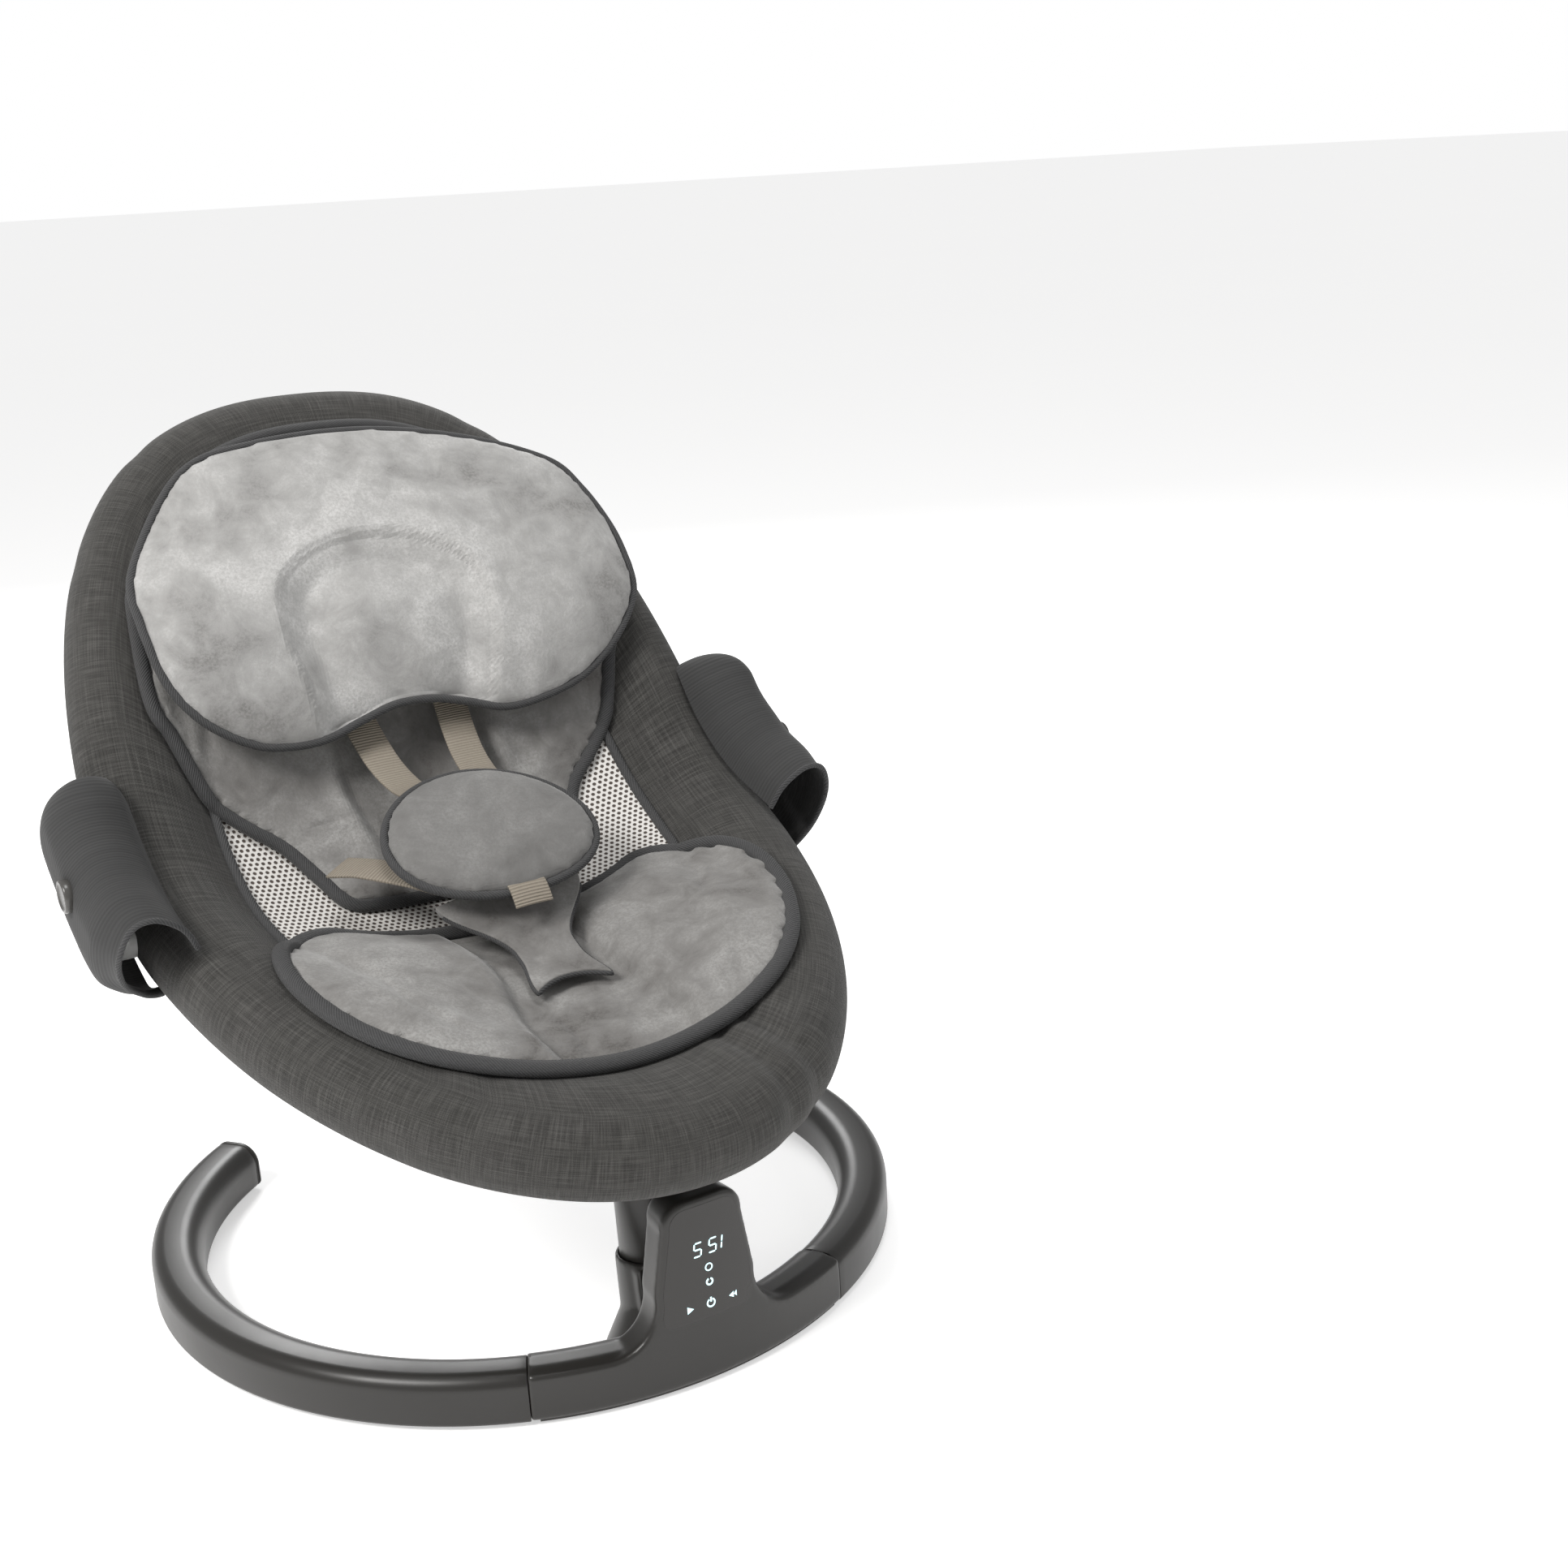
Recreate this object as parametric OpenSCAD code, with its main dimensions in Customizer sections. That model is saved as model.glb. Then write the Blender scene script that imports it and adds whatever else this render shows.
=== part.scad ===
// Baby swing: a floor ring with a drive housing, a leaning pivot, and a padded seat that reclines.
// Front is -Y, left is -X, +Z is up. The origin is on the floor, under the middle of the whole swing.

/* [Base ring] */
// Outer radius of the floor ring
ring_r = 260; // [216:1:312]
// Width of the ring's section, from its inner wall to its outer wall
ring_w = 36; // [34:1:44]
// Height of the ring's section
ring_h = 34; // [32:1:44]
// Distance from the origin back to the ring's centre, negative towards the front
base_y = -18; // [-30:1:0]
// Height of the rubber feet
foot_h = 2; // [1.5:0.5:5]
// Half of the angle that the front housing takes of the ring
housing_half_angle = 26; // [24:1:34]
// Angle from the front at which each arm ends
arm_end_angle = 142; // [110:1:160]
// Wall of the plastic shells
wall = 2.5; // [2:0.1:3]
// Step by which the arms are smaller than the housing they plug into
arm_step = 0.6; // [0.2:0.1:1]

/* [Tower] */
// Height of the tower's top above the floor
tower_h = 128; // [115:1:140]
// Width of the tower just under its rounded top
tower_top_w = 58; // [50:1:70]
// Radius of the tower's top corners
tower_corner_r = 16; // [8:1:24]
// Slope of the tower's sides from vertical, in degrees
tower_side_slope = 8; // [0:1:14]
// Radius of the flare between the tower and the ring
tower_flare_r = 30; // [15:1:34]
// Depth of the tower, from front to back
tower_d = 26; // [24:1:32]
// Thickness of the touch panel's lens
lens_t = 1.8; // [1:0.1:2]

/* [Pivot and drive] */
// Distance of the pivot from the ring's centre, where it passes the floor
pivot_reach = 207; // [195:1:215]
// Backward lean of the pivot, in degrees
pivot_lean = 6; // [2:1:10]
// Radius of the pivot shaft
shaft_r = 6; // [5:0.5:8]
// Outer radius of the pivot bearings
bearing_r = 12; // [10:0.5:14]
// Height of a bearing
bearing_h = 7; // [5:1:9]
// Radius of the post at the collar
post_r = 26; // [22:0.5:30]
// Radius of the post under the seat
post_top_r = 23.5; // [20:0.5:28]
// Height of the collar along the pivot
collar_h = 69; // [62:1:75]
// Wall of the collar
collar_wall = 2; // [1.6:0.1:3]
// Gap round the post in the collar
post_gap = 0.8; // [0.5:0.1:1.5]
// Tooth size of the gears
gear_module = 1; // [1:0.1:1]
// Teeth that the sector gear would have as a full wheel
sector_teeth = 72; // [66:2:76]
// Teeth on the motor's pinion
pinion_teeth = 12; // [12:1:14]
// Radial running clearance of the shafts
run_gap = 0.05; // [0.02:0.01:0.1]

/* [Seat frame] */
// Half of the seat's width at the frame
seat_half_w = 206; // [172:1:235]
// Length of the seat frame in front of its widest place
front_len = 339; // [290:1:380]
// Length of the seat frame behind its widest place
back_len = 351; // [300:1:400]
// Slope of the seat, in degrees
seat_tilt = 18; // [12:1:24]
// Slope of the backrest, in degrees
back_tilt = 53; // [40:1:60]
// Half of the length over which the seat bends into the backrest
bend_half = 59; // [40:1:80]
// Place of the middle of the bend, front to back
bend_y = 61; // [50:1:75]
// Height of the swing post's top above the floor
post_high = 136; // [113:1:164]
// Height of the middle of the bend above the post's top
seat_over_post = 143; // [134:1:164]
// Radius of the frame tubes
tube_r = 8; // [6:0.5:9]

/* [Recline hubs] */
// Height of the hinge above the frame's sheet
hinge_h = 33; // [28:1:38]
// Largest recline of the backrest from the upright position, in degrees
recline_max = 30; // [10:1:32]
// Radius of the hub plates
hub_r = 24; // [20:1:26]
// Thickness of a hub plate
hub_t = 6; // [4:0.5:7]
// Radius of the hinge pins
pin_r = 5; // [4:0.5:6]
// Radius of the recline buttons
button_r = 10; // [8:0.5:11]
// Travel of the recline buttons
button_travel = 4; // [2:0.5:5]

/* [Soft goods] */
// Height of the padded rim above the frame
rim_top = 30; // [24:1:34]
// Depth of the padded rim below the frame
rim_bottom = 26; // [20:1:30]
// Width of the padded rim outside the frame
rim_out = 30; // [24:1:32]
// Share of the seat's half width that the padded rim takes inside the frame
rim_share = 0.26; // [0.2:0.01:0.3]
// Depth of the seat's hollow under the frame
hollow = 20; // [14:1:26]
// Depth of the underside cover under the hollow
under_sag = 16; // [12:1:22]
// Thickness of the seat pad
seat_pad_t = 18; // [12:1:24]
// Thickness of the back cushion
back_pad_t = 18; // [12:1:24]
// Height of the head pillow's crown above its seam
pillow_crown = 17; // [10:1:22]
// Thickness of the belly pad
belly_t = 24; // [16:1:28]
// Width of the harness webbing
webbing_w = 25; // [20:1:30]
// Thickness of the harness webbing
webbing_t = 1.6; // [1.2:0.1:2.5]

/* [Hidden] */
bend_z = post_high + seat_over_post;

charcoal = "#3b3936";
melange = "#4b4b4a";
plush = "#a3a19e";
webbing = "#8f8778";
steel = "#b9bcc0";
white_paint = "#e8e8e6";

$fn = 64;
eps = 0.01;
far = 1000;
soft_gap = 1.5;                         // space left between soft layers
front_angle = 270;                      // the ring's front, as an angle about Z
ring_mid_r = ring_r - ring_w / 2;
ring_top = foot_h + ring_h;
pivot_y = base_y - pivot_reach;

// ---- ring and housing ----

screw_r = 1.5;
screw_head_r = 3;
boss_r = 4.2;
screw_angles = [-21, -8.5, 8.5, 21];
cover_t = 2;
cover_fit = 0.15;
spigot_angle = 3;
spigot_fit = 0.2;
cap_angle = 1.2;
arm_hollow = 3.6;
pad_r = 7;
foot_angles = [-135, -70, -16, 16, 70, 135];
lens_inset = 5;
lens_bottom = 46;
lens_fit = 0.05;
lens_ledge = 2.5;

function arc(cx, cy, r, a0, a1, n = 6) =
    [for (i = [0:n]) [cx + r * cos(a0 + (a1 - a0) * i / n), cy + r * sin(a0 + (a1 - a0) * i / n)]];

// The ring's section: flat outer wall, rounded shoulders, inset by d. floor_z moves its underside.
function ring_section(d, floor_z = foot_h) =
    let (xi = ring_r - ring_w + d, xo = ring_r - d, zb = floor_z + d, zt = ring_top - d)
    concat(
        arc(xo - 3, zb + 3, 3, -90, 0, 3),
        arc(xo - 10 + d, zt - 10 + d, 10 - d, 0, 90, 6),
        arc(xi + 15 - d, zt - 15 + d, 15 - d, 90, 180, 8),
        arc(xi + 4, zb + 4, 4, 180, 270, 3));

module ring_part(section, from, sweep) {
    translate([0, base_y, 0])
        rotate_extrude(start = front_angle + from, angle = sweep, $fn = 128)
            polygon(section);
}

// The tower's outline seen from the front, inset by d and starting at height bottom.
function tower_outline(d, bottom) =
    let (side_x = tower_top_w / 2 - d, drop = tower_h - tower_corner_r,
         foot_x = side_x + (drop - ring_top - tower_flare_r) * tan(tower_side_slope),
         right = concat(
             arc(foot_x + tower_flare_r + d, ring_top + tower_flare_r, tower_flare_r + d,
                 270, 180 - tower_side_slope, 8),
             arc(side_x - tower_corner_r + d, tower_h - tower_corner_r, tower_corner_r - d,
                 -tower_side_slope, 90, 8)))
    concat([[foot_x + tower_flare_r + d, bottom]], right,
        [for (i = [len(right) - 1:-1:0]) [-right[i].x, right[i].y]], [[-foot_x - tower_flare_r - d, bottom]]);

module facing(depth) {
    rotate([90, 0, 0]) linear_extrude(depth) children();
}

// A shell of the ring's own curvature, between two radii, behind an outline seen from the front.
module curved_plate(r_in, r_out) {
    translate([0, base_y, 0])
        intersection() {
            difference() {
                cylinder(r = r_out, h = tower_h + 10, $fn = 128);
                translate([0, 0, -1]) cylinder(r = r_in, h = tower_h + 12, $fn = 128);
            }
            facing(ring_r + 10) children();
        }
}

module at_ring(angle, r = ring_mid_r) {
    translate([0, base_y, 0]) rotate([0, 0, front_angle + angle]) translate([r, 0, 0]) children();
}

// Pivot frame: its origin is where the pivot passes the floor, its Z runs up the pivot.
module in_pivot() {
    translate([0, pivot_y, 0]) rotate([-pivot_lean, 0, 0]) children();
}

collar_r = post_r + post_gap + collar_wall;
collar_in = collar_r - collar_wall;
deck_low = 47;
deck_top = 56;
web_len = ring_mid_r - pivot_reach;
gear_z = 22;
gear_t = 5;
lower_bearing_z = 6;
inlet_z = 17;
inlet_r = 5;
inlet_len = 11;

module lens_outline(grow) {
    half_w = tower_top_w / 2 - lens_inset + grow + 4;
    intersection() {
        polygon(tower_outline(lens_inset - grow, 0));
        translate([-half_w, lens_bottom - grow]) square([2 * half_w, far]);
    }
}

module front_housing() {
    h = housing_half_angle;
    color(charcoal)
        difference() {
            union() {
                ring_part(ring_section(0), -h, 2 * h);
                for (side = [-1, 1])
                    ring_part(ring_section(arm_hollow + spigot_fit), side * h - spigot_angle, 2 * spigot_angle);
                curved_plate(ring_r - tower_d, ring_r) polygon(tower_outline(0, ring_top - 12));
                above_floor()
                    in_pivot() {
                        translate([0, 0, -20]) cylinder(r = collar_r, h = collar_h + 20);
                        translate([-collar_r, -web_len, -20]) cube([2 * collar_r, web_len, collar_h + 20]);
                    }
            }
            ring_part(cavity_section(), -h + 1, 2 * h - 2);
            curved_plate(ring_r - tower_d + wall, ring_r - wall) polygon(tower_outline(wall, ring_top - 14));
            in_pivot() {
                translate([0, 0, -20]) cylinder(r = collar_in, h = deck_low + 20);
                translate([-collar_in, -web_len, -20]) cube([2 * collar_in, web_len, deck_low + 20]);
                translate([0, 0, -20]) cylinder(r = bearing_r, h = deck_top - 2 + 20);
                cylinder(r = shaft_r + 2, h = deck_top + 1);
                translate([0, 0, deck_top]) cylinder(r = collar_in, h = 40);
            }
            curved_plate(ring_r - lens_t, ring_r + 1) lens_outline(lens_fit);
            curved_plate(ring_r - wall - 1, ring_r + 1) lens_outline(-lens_ledge);
            inlet_hole(inlet_r);
        }
    color(charcoal)
        for (a = screw_angles)
            at_ring(a)
                difference() {
                    translate([0, 0, foot_h + cover_t]) cylinder(r = boss_r, h = ring_h - cover_t - wall / 2);
                    cylinder(r = screw_r, h = 20, $fn = 32);
                }
}

module above_floor() {
    intersection() {
        children();
        translate([-far / 2, -far / 2, foot_h]) cube([far, far, far]);
    }
}

function cavity_section() =
    let (xi = ring_r - ring_w + wall, xo = ring_r - wall, zt = ring_top - wall)
    concat([[xo, -1]],
        arc(xo - 10 + wall, zt - 10 + wall, 10 - wall, 0, 90, 6),
        arc(xi + 15 - wall, zt - 15 + wall, 15 - wall, 90, 180, 8),
        [[xi, -1]]);

module inlet_hole(r) {
    translate([0, pivot_y + inlet_z * tan(pivot_lean), inlet_z])
        rotate([-90, 0, 0])
            cylinder(r = r, h = collar_r + 5, $fn = 32);
}

module bottom_cover() {
    h = housing_half_angle;
    xi = ring_r - ring_w + wall + cover_fit;
    xo = ring_r - wall - cover_fit;
    floor_shift = foot_h * tan(pivot_lean);
    color(charcoal)
        difference() {
            union() {
                ring_part([[xi, foot_h], [xo, foot_h], [xo, foot_h + cover_t], [xi, foot_h + cover_t]],
                    -h + 1.2, 2 * h - 2.4);
                in_slab(foot_h, foot_h + cover_t)
                    in_pivot() {
                        translate([0, 0, -20]) cylinder(r = collar_in - cover_fit, h = 60);
                        translate([-collar_in + cover_fit, -web_len, -20])
                            cube([2 * (collar_in - cover_fit), web_len, 60]);
                    }
                in_slab(foot_h, far)
                    in_pivot()
                        cylinder(r = bearing_r + 2, h = lower_bearing_z + bearing_h);
            }
            in_pivot() translate([0, 0, lower_bearing_z]) cylinder(r = bearing_r, h = 40);
            for (a = screw_angles)
                at_ring(a) {
                    translate([0, 0, -1]) cylinder(r = screw_r + 0.3, h = 20, $fn = 32);
                    translate([0, 0, -1]) cylinder(r = screw_head_r + 0.2, h = foot_h + 2, $fn = 32);
                }
            at_ring(speaker_angle)
                for (a = [0:60:300])
                    rotate([0, 0, a]) translate([6, 0, -1]) cylinder(r = 1.2, h = 20, $fn = 24);
        }
}

module in_slab(low, high) {
    intersection() {
        children();
        translate([-far / 2, -far / 2, low]) cube([far, far, high - low]);
    }
}

module base_arm(side) {
    from = side > 0 ? housing_half_angle : -arm_end_angle;
    color(charcoal)
        difference() {
            ring_part(ring_section(arm_step), from, arm_end_angle - housing_half_angle);
            ring_part(ring_section(arm_hollow), from - 1, arm_end_angle - housing_half_angle + 2);
        }
}

module left_base_arm() {
    base_arm(-1);
}

module right_base_arm() {
    base_arm(1);
}

module end_cap(side) {
    color("#2f2d2b") {
        ring_part(ring_section(arm_step), side > 0 ? arm_end_angle : -arm_end_angle - cap_angle, cap_angle);
        ring_part(ring_section(arm_hollow + spigot_fit),
            side > 0 ? arm_end_angle - spigot_angle : -arm_end_angle - eps, spigot_angle + eps);
    }
}

module left_end_cap() {
    end_cap(-1);
}

module right_end_cap() {
    end_cap(1);
}

module rubber_feet() {
    color("#222222")
        for (a = foot_angles)
            at_ring(a)
                cylinder(r = pad_r, h = foot_h + (abs(a) > housing_half_angle ? arm_step : 0));
}

module base_screws() {
    color(steel)
        for (a = screw_angles)
            at_ring(a) {
                translate([0, 0, foot_h - 0.5]) cylinder(r = screw_head_r, h = 1.5, $fn = 32);
                translate([0, 0, foot_h]) cylinder(r = screw_r, h = 12, $fn = 32);
            }
}

module control_panel() {
    color("#33322f") curved_plate(ring_r - lens_t, ring_r) lens_outline(0);
}

module display_module() {
    low = lens_bottom + 7.5;
    high = tower_h - 16;
    color("#1d3b2a")
        translate([-16, base_y - ring_r + wall + 3, low])
            cube([32, 4, high - low]);
}

module control_board() {
    color("#1d3b2a")
        at_ring(-14.5)
            translate([-1, -16, foot_h + cover_t + 2])
                cube([2, 32, 20]);
}

speaker_angle = 15;

module speaker() {
    color("#202020")
        at_ring(speaker_angle)
            translate([0, 0, foot_h + cover_t + 0.2]) {
                cylinder(r = 12, h = 3);
                translate([0, 0, 3 - eps]) cylinder(r1 = 11, r2 = 6, h = 5);
            }
}

module power_inlet() {
    depth = inlet_len - 2;
    color("#151515")
        translate([0, pivot_y + inlet_z * tan(pivot_lean) + collar_r - inlet_len, inlet_z])
            rotate([-90, 0, 0]) {
                difference() {
                    cylinder(r = inlet_r, h = inlet_len, $fn = 32);
                    translate([0, 0, inlet_len - depth]) cylinder(r = 2.9, h = depth + 1, $fn = 32);
                }
                cylinder(r = 1, h = inlet_len - 1, $fn = 32);
            }
}

pressure_angle = 20;
backlash = 0.12;
mesh_gap = 0.15;
sector_r = gear_module * sector_teeth / 2;
pinion_pitch_r = gear_module * pinion_teeth / 2;
gear_distance = sector_r + pinion_pitch_r + mesh_gap;
motor_r = 10;
motor_z = gear_z + gear_t + 3;
motor_len = 17;

module drive_motor() {
    color(steel)
        in_pivot()
            translate([0, -gear_distance, 0]) {
                translate([0, 0, motor_z]) cylinder(r = motor_r, h = motor_len);
                translate([0, 0, gear_z - 4]) cylinder(r = 1.5, h = motor_z - gear_z + 4 + eps, $fn = 32);
            }
}

module bearing(z) {
    color(steel)
        in_pivot()
            translate([0, 0, z])
                difference() {
                    cylinder(r = bearing_r, h = bearing_h);
                    translate([0, 0, -1]) cylinder(r = shaft_r + run_gap, h = bearing_h + 2);
                }
}

module upper_bearing() {
    bearing(deck_top - 2 - bearing_h);
}

module lower_bearing() {
    bearing(lower_bearing_z);
}

// ---- gears ----

function involute_deg(a) = tan(a) * 180 / PI - a;

// One gear tooth about the +X axis, for a wheel of the given number of teeth.
function tooth(teeth) =
    let (rp = gear_module * teeth / 2, rb = rp * cos(pressure_angle),
         rt = rp + gear_module, rf = rp - 1.25 * gear_module, start = max(rb, rf),
         half = (90 - backlash * 90 / (gear_module * PI / 2) ) / teeth + involute_deg(pressure_angle),
         flank = [for (i = [0:5]) let (r = start + (rt - start) * i / 5) [r, half - involute_deg(acos(rb / r))]])
    concat([[(rf - 0.6) * cos(half), -(rf - 0.6) * sin(half)]],
        [for (p = flank) [p[0] * cos(p[1]), -p[0] * sin(p[1])]],
        [for (i = [5:-1:0]) let (p = flank[i]) [p[0] * cos(p[1]), p[0] * sin(p[1])]],
        [[(rf - 0.6) * cos(half), (rf - 0.6) * sin(half)]]);

module drive_pinion() {
    root = pinion_pitch_r - 1.25 * gear_module;
    color("#d8d4c8")
        in_pivot()
            translate([0, -gear_distance, gear_z - 0.5])
                difference() {
                    linear_extrude(gear_t + 1)
                        union() {
                            circle(r = root, $fn = 32);
                            for (i = [0:pinion_teeth - 1])
                                rotate([0, 0, 90 + (i + 0.5) * 360 / pinion_teeth]) polygon(tooth(pinion_teeth));
                        }
                    translate([0, 0, -1]) cylinder(r = 1.5 + run_gap, h = gear_t + 3, $fn = 32);
                }
}

module sector_gear() {
    root = sector_r - 1.25 * gear_module;
    teeth_each_side = 3;
    half_span = (teeth_each_side + 1) * 360 / sector_teeth;
    color("#d8d4c8")
        in_pivot()
            translate([0, 0, gear_z])
                difference() {
                    linear_extrude(gear_t)
                        union() {
                            circle(r = 13);
                            intersection() {
                                circle(r = root, $fn = 128);
                                polygon([[0, 0], far * [-sin(half_span), -cos(half_span)],
                                    far * [sin(half_span), -cos(half_span)]]);
                            }
                            for (i = [-teeth_each_side:teeth_each_side])
                                rotate([0, 0, -90 + i * 360 / sector_teeth]) polygon(tooth(sector_teeth));
                        }
                    translate([0, 0, -1]) cylinder(r = shaft_r, h = gear_t + 2);
                }
}

// ---- swinging frame ----

post_low = deck_top + 3;
socket_low = post_high;
socket_h = 14;
socket_r = 19;

module pivot_shaft() {
    color(steel) in_pivot() translate([0, 0, lower_bearing_z + 0.5]) cylinder(r = shaft_r, h = post_high);
}

module swing_post() {
    color(charcoal)
        in_pivot()
            difference() {
                translate([0, 0, post_low]) cylinder(r1 = post_r, r2 = post_top_r, h = post_high - post_low);
                translate([0, 0, post_low - 1]) cylinder(r = shaft_r, h = post_high);
            }
}

// ---- seat sheet: x across, u along the sheet, h above it ----

wide_u = -11.5;                         // where the sheet is widest
front_power = 2;
back_power = 2.5;
mid_tilt = (seat_tilt + back_tilt) / 2;
bend_rate = (back_tilt - seat_tilt) / (2 * bend_half);
inner_share = 1 - rim_share;

function clamped(v, limit) = max(-limit, min(limit, v));
function sheet_angle(u) = mid_tilt + bend_rate * clamped(u, bend_half);
function sheet_y(u) =
    let (c = clamped(u, bend_half), a = sheet_angle(u))
    bend_y + (sin(a) - sin(mid_tilt)) / (bend_rate * PI / 180) + (u - c) * cos(a);
function sheet_z(u) =
    let (c = clamped(u, bend_half), a = sheet_angle(u))
    bend_z - (cos(a) - cos(mid_tilt)) / (bend_rate * PI / 180) + (u - c) * sin(a);
function on_sheet(p) =
    let (a = sheet_angle(p[1]))
    [p[0], sheet_y(p[1]) - p[2] * sin(a), sheet_z(p[1]) + p[2] * cos(a)];

function half_len(u) = u > wide_u ? back_len : front_len;
function power(u) = u > wide_u ? back_power : front_power;
// 0 in the middle of the seat, 1 on the frame tube
function spread(x, u) =
    let (e = power(u))
    pow(pow(abs(x) / seat_half_w, e) + pow(abs(u - wide_u) / half_len(u), e), 1 / e);
// Half width at u of the outline that lies at the given share of the frame
function width_at(u, share) =
    let (e = power(u), v = min(1, abs(u - wide_u) / (half_len(u) * share)))
    seat_half_w * share * pow(1 - pow(v, e), 1 / e);
// Height of the upholstery that the pads lie on
function base_height(x, u) =
    let (s = spread(x, u))
    s >= inner_share ? rim_top * cos(90 * min(1, (1 - s) / rim_share) * (s < 1 ? 1 : 0))
                     : -hollow * (1 - pow(s / inner_share, 2));

// Closed solid through a row of rings, each with the same even number of points.
module loft(rings) {
    n = len(rings);
    m = len(rings[0]);
    points = [for (r = rings) each r];
    sides = [for (i = [0:n - 2], j = [0:m - 1])
        let (k = (j + 1) % m, a = i * m + j, b = i * m + k, c = a + m, d = b + m)
        each [[a, c, b], [b, c, d]]];
    last = (n - 1) * m;
    ends = [for (j = [0:m / 2 - 2])
        let (k = m - 1 - j)
        each [[j, j + 1, k - 1, k], [last + k, last + k - 1, last + j + 1, last + j]]];
    polyhedron(points, concat(ends, sides), convexity = 8);
}

// The same with a second row of rings as an open channel through it.
module hollow_loft(outer, inner) {
    n = len(outer);
    m = len(outer[0]);
    off = n * m;
    last = (n - 1) * m;
    points = concat([for (r = outer) each r], [for (r = inner) each r]);
    skin = [for (i = [0:n - 2], j = [0:m - 1])
        let (k = (j + 1) % m, a = i * m + j, b = i * m + k, c = a + m, d = b + m)
        each [[a, c, b], [b, c, d], [off + a, off + b, off + c], [off + b, off + d, off + c]]];
    ends = [for (j = [0:m - 1])
        let (k = (j + 1) % m)
        each [[j, k, off + j], [off + j, k, off + k],
              [last + j, off + last + j, last + k], [off + last + j, off + last + k, last + k]]];
    polyhedron(points, concat(skin, ends), convexity = 8);
}

// Ring across the sheet at u: a top line and a bottom line between -w and w about mid_x.
function slab_ring(u, w, top, bottom, mid_x = 0, steps = 14) =
    concat(
        [for (k = [0:steps]) let (s = -cos(180 * k / steps), x = mid_x + w * s) on_sheet([x, u, top(x, u, s)])],
        [for (k = [steps:-1:0]) let (s = -cos(180 * k / steps), x = mid_x + w * s) on_sheet([x, u, bottom(x, u, s)])]);

function steps_between(a, b, n) = [for (i = [0:n]) a + (b - a) * i / n];

// Frame outline: a is 0 at the right side, 90 at the head, -90 at the foot.
function outline(a) =
    let (c = cos(a), s = sin(a), e = s > 0 ? back_power : front_power)
    [seat_half_w * sign(c) * pow(abs(c), 2 / e),
     wide_u + (s > 0 ? back_len : -front_len) * pow(abs(s), 2 / e)];
function outline_normal(a) =
    let (d = outline(a + 0.5) - outline(a - 0.5))
    [d.y, -d.x] / norm(d);

// ---- hub and hinge places ----

hinge_u = -10;
hinge = on_sheet([0, hinge_u, hinge_h]);
front_boss = on_sheet([0, hinge_u - 24, 0]);
back_boss = on_sheet([0, hinge_u + 24, 0]);
boss_in = seat_half_w - tube_r - 2;
hub_boss_r = tube_r + 2;
plate_gap = 0.5;
hub_x = seat_half_w + rim_out + 4;
outer_plate_x = hub_x + hub_t + plate_gap;
front_cut = -hinge_u + 38;
back_cut = hinge_u + 37;
pocket_out = outer_plate_x + hub_t + 17.5;
button_top = pocket_out - 1;
button_cap_t = 6;
recline_wedge = recline_max / 2 + 1;

module on_hub(x, place = hinge) {
    translate([x, place.y, place.z]) rotate([0, 90, 0]) children();
}

module on_side(side) {
    if (side > 0) children();
    else mirror([1, 0, 0]) children();
}

module hub_half(plate_x, boss, bore) {
    difference() {
        union() {
            hull() {
                on_hub(plate_x) cylinder(r = hub_r, h = hub_t);
                on_hub(plate_x, boss) cylinder(r = hub_boss_r, h = hub_t);
            }
            on_hub(boss_in, boss) cylinder(r = hub_boss_r, h = plate_x - boss_in + 1);
        }
        on_hub(plate_x - 1) cylinder(r = bore, h = hub_t + 2);
    }
}

module hub_inner(side) {
    color(white_paint) on_side(side) hub_half(hub_x, front_boss, pin_r);
}

module hub_outer(side) {
    color(white_paint) on_side(side) hub_half(outer_plate_x, back_boss, pin_r + run_gap);
}

module left_hub_inner() {
    hub_inner(-1);
}

module right_hub_inner() {
    hub_inner(1);
}

module left_hub_outer() {
    hub_outer(-1);
}

module right_hub_outer() {
    hub_outer(1);
}

stem_r = 2;

module hinge_pin(side) {
    length = outer_plate_x + hub_t + 1 - hub_x;
    color(steel)
        on_side(side)
            difference() {
                union() {
                    on_hub(hub_x - 2) cylinder(r = pin_r + 3, h = 2);
                    on_hub(hub_x - eps) cylinder(r = pin_r, h = length);
                }
                on_hub(hub_x - 3) cylinder(r = stem_r + run_gap, h = length + 5, $fn = 32);
            }
}

module left_hinge_pin() {
    hinge_pin(-1);
}

module right_hinge_pin() {
    hinge_pin(1);
}

module recline_button(side) {
    stem_in = hub_x + 2;
    color("#4a4846")
        on_side(side) {
            on_hub(button_top - button_cap_t) cylinder(r = button_r, h = button_cap_t);
            on_hub(stem_in) cylinder(r = stem_r, h = button_top - button_cap_t - stem_in + 1, $fn = 32);
        }
}

module left_recline_button() {
    recline_button(-1);
}

module right_recline_button() {
    recline_button(1);
}

// ---- frame tubes ----

tube_sides = 12;

function tube_ring(p, d, r) =
    let (t = d / norm(d), side = [1, 0, 0] - t * t.x, s = side / norm(side), up = cross(t, s))
    [for (j = [0:tube_sides - 1]) p + r * (cos(360 * j / tube_sides) * s + sin(360 * j / tube_sides) * up)];

// Ring of the frame tube on the sheet's outline at angle a
function frame_ring(a, r) =
    let (c = outline(a), n = outline_normal(a))
    [for (j = [0:tube_sides - 1])
        let (q = 360 * j / tube_sides)
        on_sheet([c.x + r * cos(q) * n.x, c.y + r * cos(q) * n.y, r * sin(q)])];

function angle_of_front(cut) = asin(pow((cut + wide_u) / front_len, front_power / 2));
function angle_of_back(cut) = asin(pow((cut - wide_u) / back_len, back_power / 2));

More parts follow.
